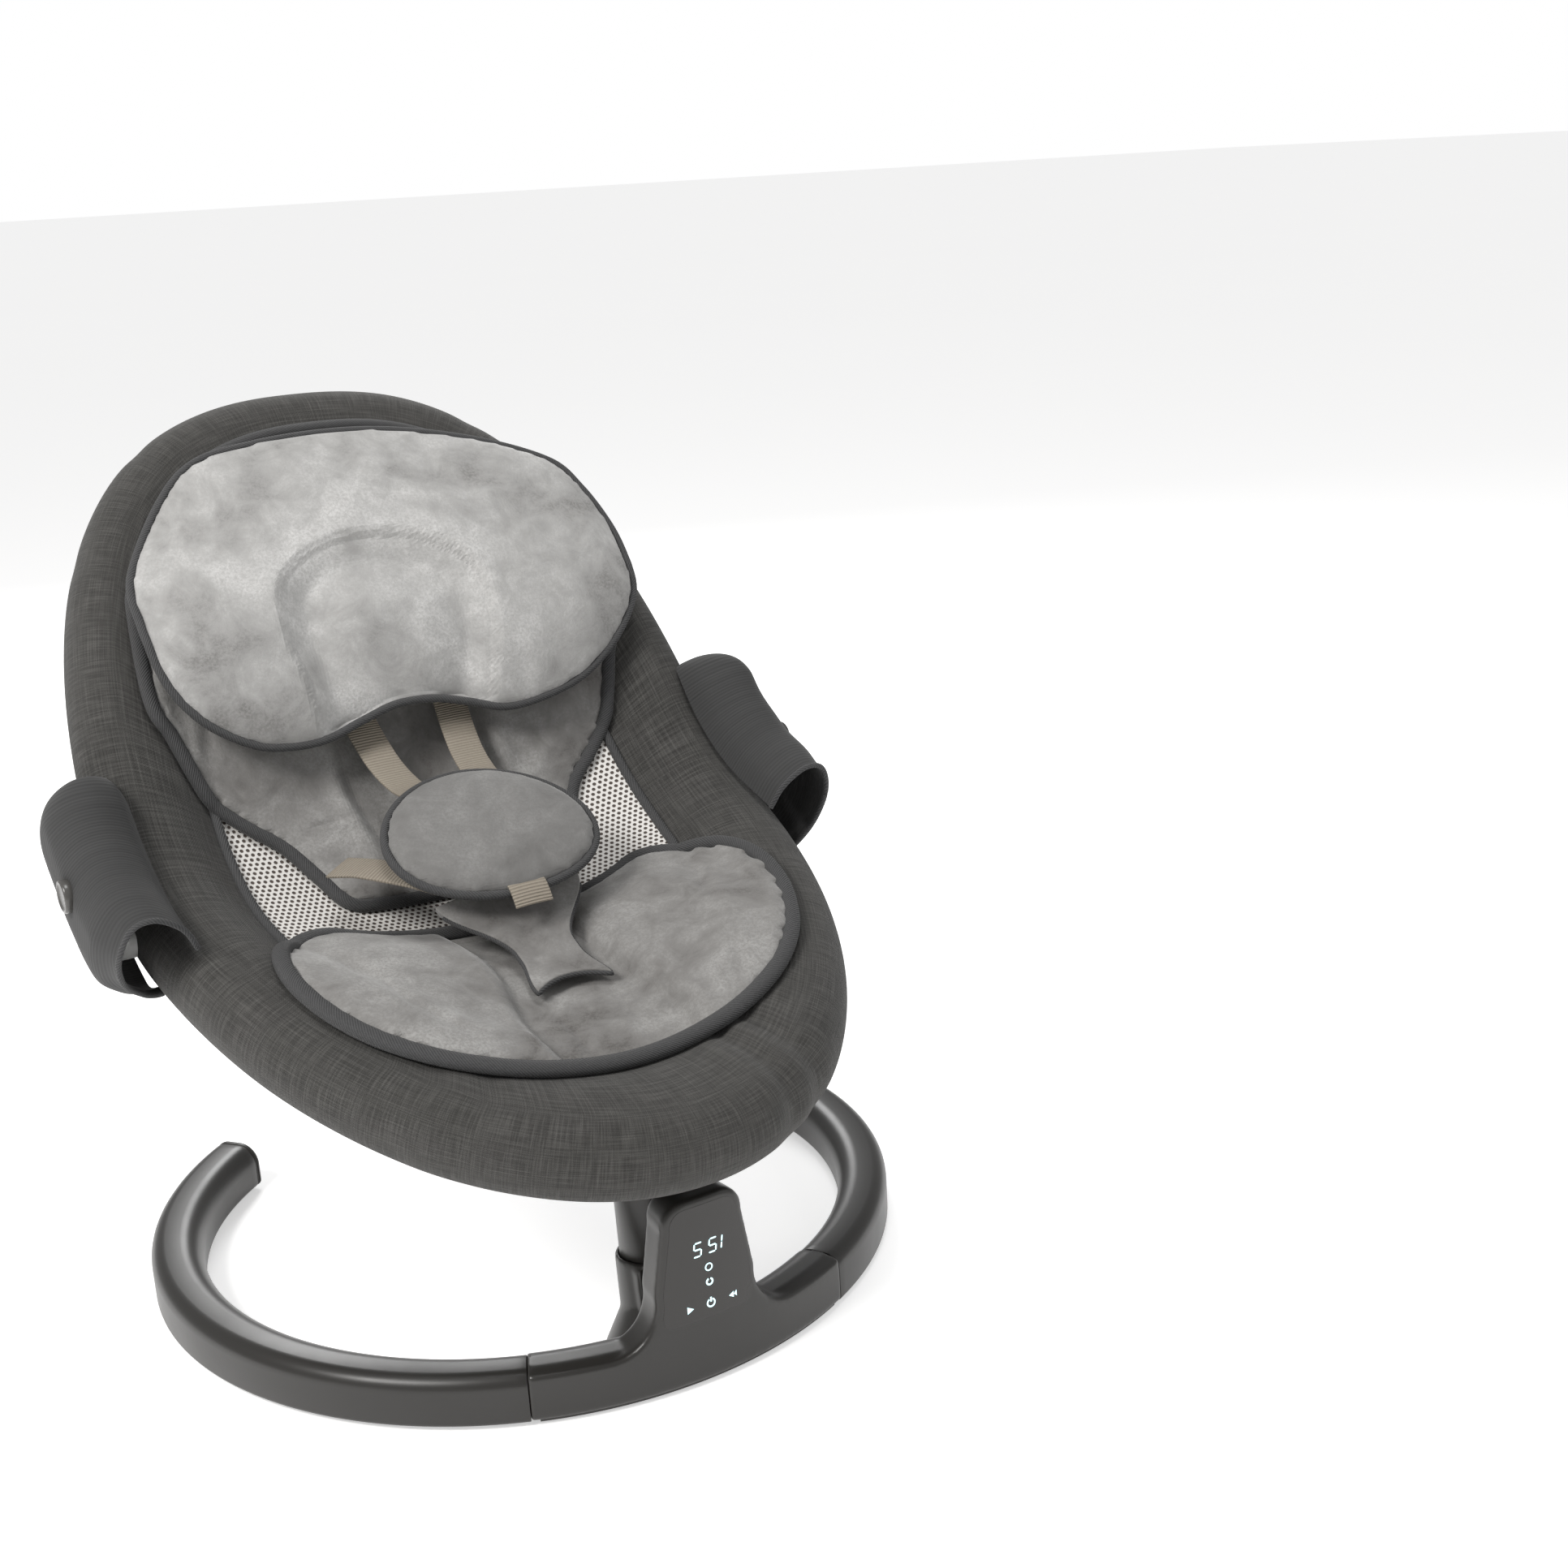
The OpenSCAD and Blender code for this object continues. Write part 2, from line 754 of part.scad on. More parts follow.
module front_frame_tube() {
    a = angle_of_front(-hinge_u + 24);
    color(white_paint) loft([for (t = steps_between(-a, a - 180, 36)) frame_ring(t, tube_r)]);
}

module back_frame_tube() {
    a = angle_of_back(hinge_u + 24);
    color(white_paint) loft([for (t = steps_between(180 - a, a, 36)) frame_ring(t, tube_r)]);
}

fork_tube_r = 9;
fork_root_s = socket_low + fork_tube_r + 0.6;
fork_root = [12, pivot_y + fork_root_s * sin(pivot_lean), fork_root_s * cos(pivot_lean)];

function bezier(p, t) =
    pow(1 - t, 3) * p[0] + 3 * pow(1 - t, 2) * t * p[1] + 3 * (1 - t) * t * t * p[2] + pow(t, 3) * p[3];

module support_fork() {
    tip = [boss_in + 4, front_boss.y, front_boss.z];
    path = [fork_root, fork_root + [50, 150, 0], tip + [-8, 45, -100], tip];
    n = 18;
    color(charcoal) {
        difference() {
            in_pivot() translate([0, 0, socket_low]) cylinder(r = socket_r, h = socket_h);
            in_pivot() translate([0, 0, socket_low - 1]) cylinder(r = shaft_r, h = 8);
        }
        for (side = [-1, 1])
            on_side(side)
                loft([for (i = [0:n]) let (t = i / n)
                    tube_ring(bezier(path, t), bezier(path, min(1, t + 0.01)) - bezier(path, max(0, t - 0.01)),
                        fork_tube_r)]);
    }
}

// ---- soft goods ----

rim_sides = 18;
channel_gap = 1;

function rim_ring(a) =
    let (c = outline(a), n = outline_normal(a))
    [for (j = [0:rim_sides - 1])
        let (q = 360 * j / rim_sides, co = cos(q), si = sin(q), tall = si > 0 ? rim_top : rim_bottom,
             share = 1 + rim_share * co)
        co >= 0 ? on_sheet([c.x + rim_out * co * n.x, c.y + rim_out * co * n.y, tall * si])
                : on_sheet([c.x * share, wide_u + (c.y - wide_u) * share, tall * sign(si) * cos(90 * co)])];

function channel_ring(a) =
    let (c = outline(a), n = outline_normal(a), r = tube_r + channel_gap)
    [for (j = [0:rim_sides - 1])
        let (q = 360 * j / rim_sides)
        on_sheet([c.x + r * cos(q) * n.x, c.y + r * cos(q) * n.y, r * sin(q)])];

module rim_cover(angles) {
    color(melange) hollow_loft([for (t = angles) rim_ring(t)], [for (t = angles) channel_ring(t)]);
}

module front_rim_cover() {
    a = angle_of_front(front_cut);
    rim_cover(steps_between(-a, a - 180, 40));
}

module back_rim_cover() {
    a = angle_of_back(back_cut);
    rim_cover(steps_between(180 - a, a, 40));
}

liner_t = 2;
liner_share = inner_share - 0.01;
tip_share = 0.985;                      // how far along its outline a soft sheet runs before it ends

function foot_end(share) = wide_u - front_len * share * tip_share;
function head_end(share) = wide_u + back_len * share * tip_share;
// The seat's and the backrest's sheets stop short of the hinge, more so the deeper they lie
function front_stop(h) = hinge_u - (hinge_h - h) * tan(recline_wedge);
function back_stop(h) = hinge_u + (hinge_h - h) * tan(recline_wedge);
function under_height(x, u) = base_height(x, u) - liner_t - 2 - under_sag * (1 - pow(spread(x, u) / inner_share, 2));

module sheet_slab(from, to, share, top, bottom) {
    loft([for (u = steps_between(from, to, 14)) slab_ring(u, width_at(u, share), top, bottom)]);
}

module mesh_liner(from, to) {
    color("#e4e2de")
        sheet_slab(from, to, liner_share,
            function (x, u, s) base_height(x, u),
            function (x, u, s) base_height(x, u) - liner_t);
}

module under_cover(from, to) {
    color(melange)
        sheet_slab(from, to, liner_share,
            function (x, u, s) under_height(x, u),
            function (x, u, s) under_height(x, u) - liner_t);
}

module front_mesh_liner() {
    mesh_liner(front_stop(-hollow - liner_t), foot_end(liner_share));
}

module back_mesh_liner() {
    mesh_liner(head_end(liner_share), back_stop(-hollow - liner_t));
}

module front_under_cover() {
    deep = -hollow - under_sag - 2 * liner_t - 2;
    under_cover(front_stop(deep), foot_end(liner_share));
}

module back_under_cover() {
    deep = -hollow - under_sag - 2 * liner_t - 2;
    under_cover(head_end(liner_share), back_stop(deep));
}

// Thickness of a pad, full in its middle and thin at its edge; v runs from -1 to 1 along it
function pad_fill(s, v, full, edge) = edge + (full - edge) * sqrt(max(0, (1 - pow(s, 4)) * (1 - pow(v, 4))));

seat_pad_edge = 8;
seat_pad_mid_u = -183;
seat_pad_half_u = 110;
seat_pad_half_w = 170;

function seat_pad_v(u) = (u - seat_pad_mid_u) / seat_pad_half_u;
function seat_pad_top(x, u) =
    let (v = clamped(seat_pad_v(u), 1), w = seat_pad_half_w * pow(1 - pow(abs(v), 2.6), 1 / 2.6),
         s = w > 1 ? clamped(x / w, 1) : 1)
    base_height(x, u) + soft_gap + pad_fill(s, v, seat_pad_t, seat_pad_edge);

module seat_pad() {
    color(plush)
        loft([for (v = steps_between(0.98, -0.98, 16))
            slab_ring(seat_pad_mid_u + v * seat_pad_half_u,
                seat_pad_half_w * pow(1 - pow(abs(v), 2.6), 1 / 2.6),
                function (x, u, s) seat_pad_top(x, u),
                function (x, u, s) base_height(x, u) + soft_gap)]);
}

back_pad_edge = 8;
back_pad_low = back_stop(-hollow) + 1;
back_pad_high = wide_u + back_len * 0.96;

function back_pad_width(u) =
    let (low = u < 57 ? 86 + (u + 25) * 0.805 : 152 + (u - 57) * 0.4)
    min(low * seat_half_w / 206, width_at(u, 0.99));
function back_pad_top(x, u) =
    let (v = 2 * (u - back_pad_low) / (back_pad_high - back_pad_low) - 1, w = back_pad_width(u))
    base_height(x, u) + soft_gap + pad_fill(clamped(x / w, 1), clamped(v, 1), back_pad_t, back_pad_edge);

module back_cushion() {
    color(plush)
        loft([for (u = steps_between(back_pad_high, back_pad_low, 22))
            slab_ring(u, back_pad_width(u),
                function (x, u, s) back_pad_top(x, u),
                function (x, u, s) base_height(x, u) + soft_gap)]);
}

pillow_mid_u = 186;
pillow_half_u = 116;
pillow_half_w = 181;
pillow_mid_x = 8;
pillow_edge = 6;
pillow_seam_high = 58;
pillow_seam_low = 36;
pillow_gap = webbing_t + 3;                 // room for the shoulder straps under the pillow

function pillow_seam(u) =
    pillow_seam_low + (pillow_seam_high - pillow_seam_low) * max(0, min(1, (u - 80) / 80));

module head_pillow() {
    color(plush)
        loft([for (v = steps_between(0.97, -0.97, 18))
            let (u = pillow_mid_u + v * pillow_half_u, w = pillow_half_w * pow(1 - pow(abs(v), 2.3), 1 / 2.3))
            slab_ring(u, w,
                function (x, u, s) max(pillow_seam(u) + pillow_crown * sqrt((1 - s * s) * (1 - v * v)),
                    back_pad_top(x, u) + pillow_gap + pillow_edge),
                function (x, u, s) back_pad_top(x, u) + pillow_gap,
                pillow_mid_x)]);
}

// ---- harness ----

belly_u = -68;
belly_h = 46;
belly_half_w = 73;
belly_half_l = 58;
belly_tilt = 22;

// Local frame above the seat: origin at u, h on the middle line, its Y at the given slope
module above_seat(u, h, slope) {
    p = on_sheet([0, u, h]);
    translate([0, p.y, p.z]) rotate([slope, 0, 0]) children();
}

module belly_pad() {
    color(plush)
        above_seat(belly_u, belly_h, belly_tilt)
            loft([for (v = steps_between(0.98, -0.98, 12))
                let (w = belly_half_w * sqrt(1 - v * v), y = v * belly_half_l, n = 12)
                concat(
                    [for (k = [0:n]) let (s = -cos(180 * k / n))
                        [w * s, y, 6 + (belly_t - 6) * sqrt((1 - s * s) * (1 - v * v))]],
                    [for (k = [n:-1:0]) let (s = -cos(180 * k / n)) [w * s, y, -3 * (1 - s * s)]])]);
}

crotch_low_u = -204;
crotch_high_u = -104;
crotch_t = 6;

function crotch_width(u) =
    let (t = (u - crotch_low_u) / (crotch_high_u - crotch_low_u))
    24 + 4 * pow(1 - t, 3) + 27 * pow(max(0, (t - 0.35) / 0.65), 1.5);
function crotch_under(x, u) =
    let (t = (u - crotch_low_u) / (crotch_high_u - crotch_low_u))
    seat_pad_top(x, u) + soft_gap + 26 * t * t;

module crotch_pad() {
    color(plush)
        loft([for (u = steps_between(crotch_high_u, crotch_low_u, 12))
            slab_ring(u, crotch_width(u),
                function (x, u, s) crotch_under(x, u) + crotch_t,
                function (x, u, s) crotch_under(x, u))]);
}

buckle_l = 42;
buckle_w = 48;
buckle_t = 9;
buckle_drop = 14;

module buckle_place() {
    above_seat(belly_u + 2, belly_h, belly_tilt) translate([0, 0, -buckle_drop]) children();
}

buckle_button_r = 8;
buckle_travel = 2;

module harness_buckle() {
    color("#2b2b2b")
        buckle_place()
            difference() {
                translate([-buckle_w / 2, -buckle_l / 2, 0]) cube([buckle_w, buckle_l, buckle_t]);
                translate([0, 0, 3]) cylinder(r = buckle_button_r + 0.2, h = buckle_t);
            }
}

module buckle_button() {
    color("#b0332c")
        buckle_place()
            translate([0, 0, 3 + buckle_travel + 0.2]) cylinder(r = buckle_button_r, h = buckle_t - 4);
}

// Flat strap through a row of stations [centre x, u, h], lying across x
function strap_ring(p, w, t) =
    [on_sheet([p.x - w / 2, p.y, p.z]), on_sheet([p.x - w / 2, p.y, p.z + t]),
     on_sheet([p.x + w / 2, p.y, p.z + t]), on_sheet([p.x + w / 2, p.y, p.z])];

strap_top_u = 150;
strap_low_u = 9;
strap_low_h = 47;

module shoulder_strap(side) {
    color(webbing)
        on_side(side)
            loft([for (t = steps_between(0, 1, 16))
                let (u = strap_top_u + (strap_low_u - strap_top_u) * t, x = 36 - 10 * t,
                     lift = max(0, (t - 0.5) / 0.5),
                     rest = back_pad_top(x + webbing_w / 2, max(u, back_pad_low)) + 0.5)
                strap_ring([x, u, rest + (strap_low_h - rest) * pow(lift, 1.7)], webbing_w, webbing_t)]);
}

module left_shoulder_strap() {
    shoulder_strap(-1);
}

module right_shoulder_strap() {
    shoulder_strap(1);
}

module waist_strap(side) {
    start = [104, -46, base_height(104, -46) + 3];
    end = [buckle_w / 2 + 3, belly_u, belly_h - buckle_drop + 3];
    color(webbing)
        on_side(side)
            loft([for (t = steps_between(0, 1, 6))
                let (p = start + (end - start) * t)
                [on_sheet([p.x, p.y - webbing_w / 2, p.z]), on_sheet([p.x, p.y - webbing_w / 2, p.z + webbing_t]),
                 on_sheet([p.x, p.y + webbing_w / 2, p.z + webbing_t]), on_sheet([p.x, p.y + webbing_w / 2, p.z])]]);
}

module left_waist_strap() {
    waist_strap(-1);
}

module right_waist_strap() {
    waist_strap(1);
}

module crotch_strap() {
    u0 = -139;
    u1 = -97;
    color(webbing)
        loft([for (u = steps_between(u1, u0, 6))
            let (p = [0, u, crotch_under(0, u) + crotch_t + 1])
            strap_ring(p, webbing_w, webbing_t)]);
}

// ---- side pockets ----

pocket_t = 2.5;
pocket_foot_u = -98;
pocket_head_u = 82;
pocket_inner_x = seat_half_w + 6;

// The pocket's section from its seam on the rim, over the hub and round underneath: [x from pocket_out, h]
pocket_line = [[pocket_inner_x - pocket_out, 35], [-46, 53], [-27, 64.5], [-10, 59.5], [0, 36], [-1, 6],
    [-8, -17], [-23, -31]];
pocket_line_in = [[pocket_inner_x + 2 - pocket_out, 33], [-44, 50.5], [-27, 62], [-11.5, 57.2], [-pocket_t, 35],
    [-3.5, 7], [-10.5, -15.5], [-25, -28.5]];

// Cloth sleeve about the axis of the sheet's bend, a little further round than the bend at both ends
module pocket_sleeve() {
    bend_r = 180 / PI / bend_rate;
    translate(on_sheet([0, 0, bend_r]))
        rotate([0, 90, 0])
            rotate([0, 0, mid_tilt + bend_rate * pocket_foot_u])
                rotate_extrude(angle = bend_rate * (pocket_head_u - pocket_foot_u), $fn = 96)
                    translate([bend_r, pocket_out])
                        rotate([0, 0, 90])
                            polygon(concat(pocket_line,
                                [for (j = [len(pocket_line_in) - 1:-1:0]) pocket_line_in[j]]));
}

module side_pocket(side) {
    color("#3f3f40")
        on_side(side)
            difference() {
                pocket_sleeve();
                on_hub(pocket_out - 12) cylinder(r = button_r + 1, h = 20);
            }
}

module left_side_pocket() {
    side_pocket(-1);
}

module right_side_pocket() {
    side_pocket(1);
}

front_housing();
bottom_cover();
left_base_arm();
right_base_arm();
left_end_cap();
right_end_cap();
rubber_feet();
base_screws();
control_panel();
display_module();
control_board();
speaker();
power_inlet();
drive_motor();
upper_bearing();
lower_bearing();
drive_pinion();
pivot_shaft();
sector_gear();
swing_post();
support_fork();
front_frame_tube();
left_hub_inner();
right_hub_inner();
left_hinge_pin();
right_hinge_pin();
left_recline_button();
right_recline_button();
left_side_pocket();
right_side_pocket();
front_rim_cover();
front_mesh_liner();
front_under_cover();
seat_pad();
crotch_pad();
belly_pad();
harness_buckle();
buckle_button();
left_waist_strap();
right_waist_strap();
crotch_strap();
back_frame_tube();
left_hub_outer();
right_hub_outer();
back_rim_cover();
back_mesh_liner();
back_under_cover();
back_cushion();
head_pillow();
left_shoulder_strap();
right_shoulder_strap();
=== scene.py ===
import math
import bmesh
import bpy
from mathutils import Matrix, Vector, kdtree, noise


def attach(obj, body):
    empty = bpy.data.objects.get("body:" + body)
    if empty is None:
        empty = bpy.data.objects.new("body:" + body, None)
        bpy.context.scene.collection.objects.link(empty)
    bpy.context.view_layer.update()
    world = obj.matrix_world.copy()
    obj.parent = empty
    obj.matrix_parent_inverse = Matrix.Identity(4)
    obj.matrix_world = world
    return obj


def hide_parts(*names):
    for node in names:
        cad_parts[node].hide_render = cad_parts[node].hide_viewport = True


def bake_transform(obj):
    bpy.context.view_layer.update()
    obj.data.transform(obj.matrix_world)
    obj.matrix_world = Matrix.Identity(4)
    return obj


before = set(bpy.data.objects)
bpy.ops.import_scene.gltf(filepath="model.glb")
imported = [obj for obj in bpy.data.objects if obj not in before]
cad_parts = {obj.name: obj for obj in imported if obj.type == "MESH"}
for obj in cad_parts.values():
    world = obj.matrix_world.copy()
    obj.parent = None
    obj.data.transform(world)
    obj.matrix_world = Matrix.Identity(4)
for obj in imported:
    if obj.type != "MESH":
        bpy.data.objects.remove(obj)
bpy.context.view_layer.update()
print("frame loaded")


# A shader node with its inputs set or linked, and its own settings
def shaderNode(tree, kind, inputs=None, **settings):
    made = tree.nodes.new("ShaderNode" + kind)
    for key, value in settings.items():
        setattr(made, key, value)
    for key, value in (inputs or {}).items():
        if isinstance(value, bpy.types.NodeSocket):
            tree.links.new(value, made.inputs[key])
        else:
            made.inputs[key].default_value = value
    return made


def calc(tree, operation, first, second=0.0, clamp=False):
    return shaderNode(tree, "Math", {0: first, 1: second}, operation=operation, use_clamp=clamp).outputs[0]


def spanned(tree, value, low, high, toLow=0.0, toHigh=1.0):
    return shaderNode(tree, "MapRange", {0: value, 1: low, 2: high, 3: toLow, 4: toHigh}).outputs[0]


def blended(tree, factor, first, second):
    return shaderNode(tree, "Mix", {0: factor, 6: first, 7: second}, data_type="RGBA").outputs[2]


def scaledSpot(tree, spot, scale):
    return shaderNode(tree, "VectorMath", {0: spot, 1: scale}, operation="MULTIPLY").outputs[0]


def noiseAt(tree, vector, scale, detail=2.0, roughness=0.5, distortion=0.0):
    return shaderNode(tree, "TexNoise", {"Vector": vector, "Scale": scale, "Detail": detail,
                                         "Roughness": roughness, "Distortion": distortion}).outputs[0]


def newGroup(name, inputs, outputs):
    tree = bpy.data.node_groups.new(name, "ShaderNodeTree")
    for label, kind, default in inputs:
        socket = tree.interface.new_socket(name=label, in_out="INPUT", socket_type=kind)
        if default is not None:
            socket.default_value = default
    for label, kind in outputs:
        tree.interface.new_socket(name=label, in_out="OUTPUT", socket_type=kind)
    return tree, tree.nodes.new("NodeGroupInput").outputs, tree.nodes.new("NodeGroupOutput").inputs


def placeGroup(tree, group, inputs):
    return shaderNode(tree, "Group", inputs, node_tree=group).outputs


# Linen threads on a cloth map in metres: Tone is the slubs, Height the weave
def makeLinenThreads():
    tree, given, made = newGroup("linenThreads", [("Vector", "NodeSocketVector", None),
                                                  ("Pitch", "NodeSocketFloat", 0.0012),
                                                  ("Slub", "NodeSocketFloat", 1.0)],
                                 [("Tone", "NodeSocketFloat"), ("Height", "NodeSocketFloat")])
    parts = shaderNode(tree, "SeparateXYZ", {0: given["Vector"]})
    waves = []
    for axis in (0, 1):
        turns = calc(tree, "DIVIDE", parts.outputs[axis], given["Pitch"])
        waves.append(calc(tree, "SINE", calc(tree, "MULTIPLY", turns, math.pi)))
    plain = calc(tree, "MULTIPLY_ADD", calc(tree, "MULTIPLY", waves[0], waves[1]), 0.5)
    slubs = []
    for stretch in ((26, 900, 1), (900, 26, 1)):
        scaled = scaledSpot(tree, given["Vector"], stretch)
        slubs.append(spanned(tree, noiseAt(tree, scaled, 1.0, 3.0, 0.6), 0.42, 0.78))
    both = calc(tree, "ADD", slubs[0], slubs[1])
    tree.links.new(calc(tree, "MULTIPLY", both, given["Slub"]), made["Tone"])
    tree.links.new(calc(tree, "ADD", plain, calc(tree, "MULTIPLY", both, 0.6)), made["Height"])
    return tree


# Fine grain on object coordinates: a height and a slow change of gloss
def makeFineGrain():
    tree, given, made = newGroup("fineGrain", [("Vector", "NodeSocketVector", None),
                                               ("Grain", "NodeSocketFloat", 900.0)],
                                 [("Height", "NodeSocketFloat"), ("Cloud", "NodeSocketFloat")])
    tree.links.new(noiseAt(tree, given["Vector"], given["Grain"], 3.0, 0.6), made["Height"])
    tree.links.new(noiseAt(tree, given["Vector"], 14.0, 4.0, 0.55), made["Cloud"])
    return tree


linenThreads = makeLinenThreads()
fineGrain = makeFineGrain()


def newMaterial(name, shaderValues):
    material = bpy.data.materials.new(name)
    material.use_nodes = True
    tree = material.node_tree
    shader = tree.nodes["Principled BSDF"]
    for key, value in shaderValues.items():
        shader.inputs[key].default_value = value
    return material, tree, shader


def bumped(tree, shader, height, strength, distance):
    bump = shaderNode(tree, "Bump", {"Height": height, "Strength": strength, "Distance": distance})
    tree.links.new(bump.outputs[0], shader.inputs["Normal"])


def objectSpot(tree):
    return shaderNode(tree, "TexCoord").outputs["Object"]


def clothSpot(tree):
    return shaderNode(tree, "UVMap", uv_map="cloth").outputs[0]


# Moulded plastic and metal: a base colour, its darker cloud, gloss from and to, and a grain
def mouldedMaterial(name, look):
    material, tree, shader = newMaterial(name, {"Metallic": look.get("metal", 0.0),
                                                "Specular IOR Level": look.get("shine", 0.5)})
    grain = placeGroup(tree, fineGrain, {"Vector": objectSpot(tree), "Grain": look.get("grain", 900.0)})
    tree.links.new(blended(tree, grain["Cloud"], look["light"], look["dark"]), shader.inputs["Base Color"])
    gloss = spanned(tree, grain["Cloud"], 0.3, 0.7, look["rough"][0], look["rough"][1])
    tree.links.new(gloss, shader.inputs["Roughness"])
    bumped(tree, shader, grain["Height"], look.get("bump", 0.08), 0.0002)
    return material


mouldedLooks = {
    "satinCharcoal": dict(light=(0.026, 0.024, 0.022, 1), dark=(0.020, 0.019, 0.017, 1), rough=(0.30, 0.38)),
    "capPlastic": dict(light=(0.03, 0.028, 0.025, 1), dark=(0.024, 0.022, 0.02, 1), rough=(0.4, 0.5)),
    "touchLens": dict(light=(0.027, 0.025, 0.023, 1), dark=(0.024, 0.022, 0.02, 1), rough=(0.22, 0.28),
                      bump=0.02),
    "footRubber": dict(light=(0.022, 0.022, 0.022, 1), dark=(0.014, 0.014, 0.014, 1), rough=(0.75, 0.9),
                       bump=0.3),
    "turnedSteel": dict(light=(0.62, 0.63, 0.65, 1), dark=(0.5, 0.51, 0.53, 1), rough=(0.22, 0.34),
                        metal=1.0),
    "hubPlastic": dict(light=(0.72, 0.72, 0.71, 1), dark=(0.66, 0.66, 0.64, 1), rough=(0.4, 0.5)),
    "framePaint": dict(light=(0.76, 0.76, 0.75, 1), dark=(0.7, 0.7, 0.69, 1), rough=(0.3, 0.4), bump=0.12),
    "blackPlastic": dict(light=(0.02, 0.02, 0.02, 1), dark=(0.014, 0.014, 0.014, 1), rough=(0.4, 0.55)),
    "gearAcetal": dict(light=(0.72, 0.69, 0.6, 1), dark=(0.64, 0.61, 0.53, 1), rough=(0.3, 0.4)),
    "circuitGreen": dict(light=(0.02, 0.1, 0.05, 1), dark=(0.014, 0.07, 0.035, 1), rough=(0.35, 0.5)),
    "buttonPlastic": dict(light=(0.085, 0.082, 0.078, 1), dark=(0.065, 0.062, 0.058, 1), rough=(0.22, 0.3)),
    "releaseRed": dict(light=(0.45, 0.03, 0.02, 1), dark=(0.36, 0.022, 0.016, 1), rough=(0.3, 0.4)),
}
finish = {name: mouldedMaterial(name, look) for name, look in mouldedLooks.items()}


# Dark linen with paler slubs and fibres standing off it
def melangeMaterial(name, look):
    material, tree, shader = newMaterial(name, {"Sheen Weight": 0.12, "Sheen Roughness": 0.45,
                                                "Roughness": 0.92, "Specular IOR Level": 0.18})
    spot = clothSpot(tree)
    threads = placeGroup(tree, linenThreads, {"Vector": spot, "Pitch": look["pitch"], "Slub": look["slub"]})
    cloud = noiseAt(tree, objectSpot(tree), 7.0, 4.0, 0.6)
    ground = blended(tree, spanned(tree, cloud, 0.35, 0.7), look["dark"], look["mid"])
    slubShare = calc(tree, "MULTIPLY", threads["Tone"], 1.0, clamp=True)
    tree.links.new(blended(tree, slubShare, ground, look["slubColour"]), shader.inputs["Base Color"])
    bumped(tree, shader, threads["Height"], look["bump"], 0.0006)
    return material


finish["melangeLinen"] = melangeMaterial("melangeLinen", {
    "pitch": 0.0009, "slub": 0.62, "bump": 0.4,
    "dark": (0.034, 0.033, 0.031, 1), "mid": (0.048, 0.0465, 0.044, 1),
    "slubColour": (0.112, 0.109, 0.103, 1)})


# Crushed pile: cloudy tone where the pile lies over, over fine fibres
def crushedPile(name, look):
    material, tree, shader = newMaterial(name, {"Sheen Weight": 0.35, "Sheen Roughness": 0.4,
                                                "Roughness": 0.95, "Specular IOR Level": 0.15})
    spot = objectSpot(tree)
    broad = noiseAt(tree, spot, 11.0, 6.0, 0.58, 0.5)
    patches = noiseAt(tree, spot, 38.0, 5.0, 0.65, 0.8)
    fibre = noiseAt(tree, spot, 480.0, 3.0, 0.75)
    lie = calc(tree, "ADD", calc(tree, "MULTIPLY", broad, 0.68), calc(tree, "MULTIPLY", patches, 0.32))
    toned = blended(tree, spanned(tree, lie, 0.36, 0.64), look["dark"], look["light"])
    flecked = blended(tree, spanned(tree, fibre, 0.4, 0.62, 0.0, 0.6), toned, look["fleck"])
    tree.links.new(flecked, shader.inputs["Base Color"])
    height = calc(tree, "ADD", calc(tree, "MULTIPLY", fibre, 0.7), calc(tree, "MULTIPLY", patches, 1.6))
    bumped(tree, shader, height, 0.35, 0.0012)
    return material


pileLooks = {
    "crushedPile": dict(dark=(0.110, 0.104, 0.098, 1), light=(0.38, 0.375, 0.365, 1),
                        fleck=(0.20, 0.193, 0.185, 1)),
    "palePile": dict(dark=(0.20, 0.196, 0.19, 1), light=(0.56, 0.555, 0.545, 1),
                     fleck=(0.34, 0.335, 0.325, 1)),
    "deepPile": dict(dark=(0.115, 0.112, 0.108, 1), light=(0.26, 0.257, 0.25, 1),
                     fleck=(0.17, 0.166, 0.16, 1)),
}
for name, look in pileLooks.items():
    finish[name] = crushedPile(name, look)


# Cloth with a repeated rib on its cloth map: piping, webbing and the side pockets
def ribbedMaterial(name, look):
    material, tree, shader = newMaterial(name, {"Sheen Weight": look["sheen"], "Sheen Roughness": 0.4,
                                                "Roughness": 0.88, "Specular IOR Level": 0.2})
    spot = clothSpot(tree)
    parts = shaderNode(tree, "SeparateXYZ", {0: spot})
    slant = calc(tree, "MULTIPLY", parts.outputs[0], look["slant"])
    along = calc(tree, "ADD", parts.outputs[1], slant)
    wave = calc(tree, "SINE", calc(tree, "MULTIPLY", along, 2 * math.pi / look["rib"]))
    rib = calc(tree, "MULTIPLY_ADD", wave, 0.5)
    streak = noiseAt(tree, scaledSpot(tree, spot, look["streak"]), 1.0, 4.0, 0.65)
    ribTone = calc(tree, "MULTIPLY", calc(tree, "ADD", rib, 0.5), look["ribTone"])
    share = calc(tree, "ADD", calc(tree, "MULTIPLY", streak, 1.0 - look["ribTone"]), ribTone, clamp=True)
    tree.links.new(blended(tree, share, look["dark"], look["light"]), shader.inputs["Base Color"])
    height = calc(tree, "ADD", calc(tree, "MULTIPLY", rib, look["ribHeight"]), streak)
    bumped(tree, shader, height, look["bump"], 0.0006)
    return material


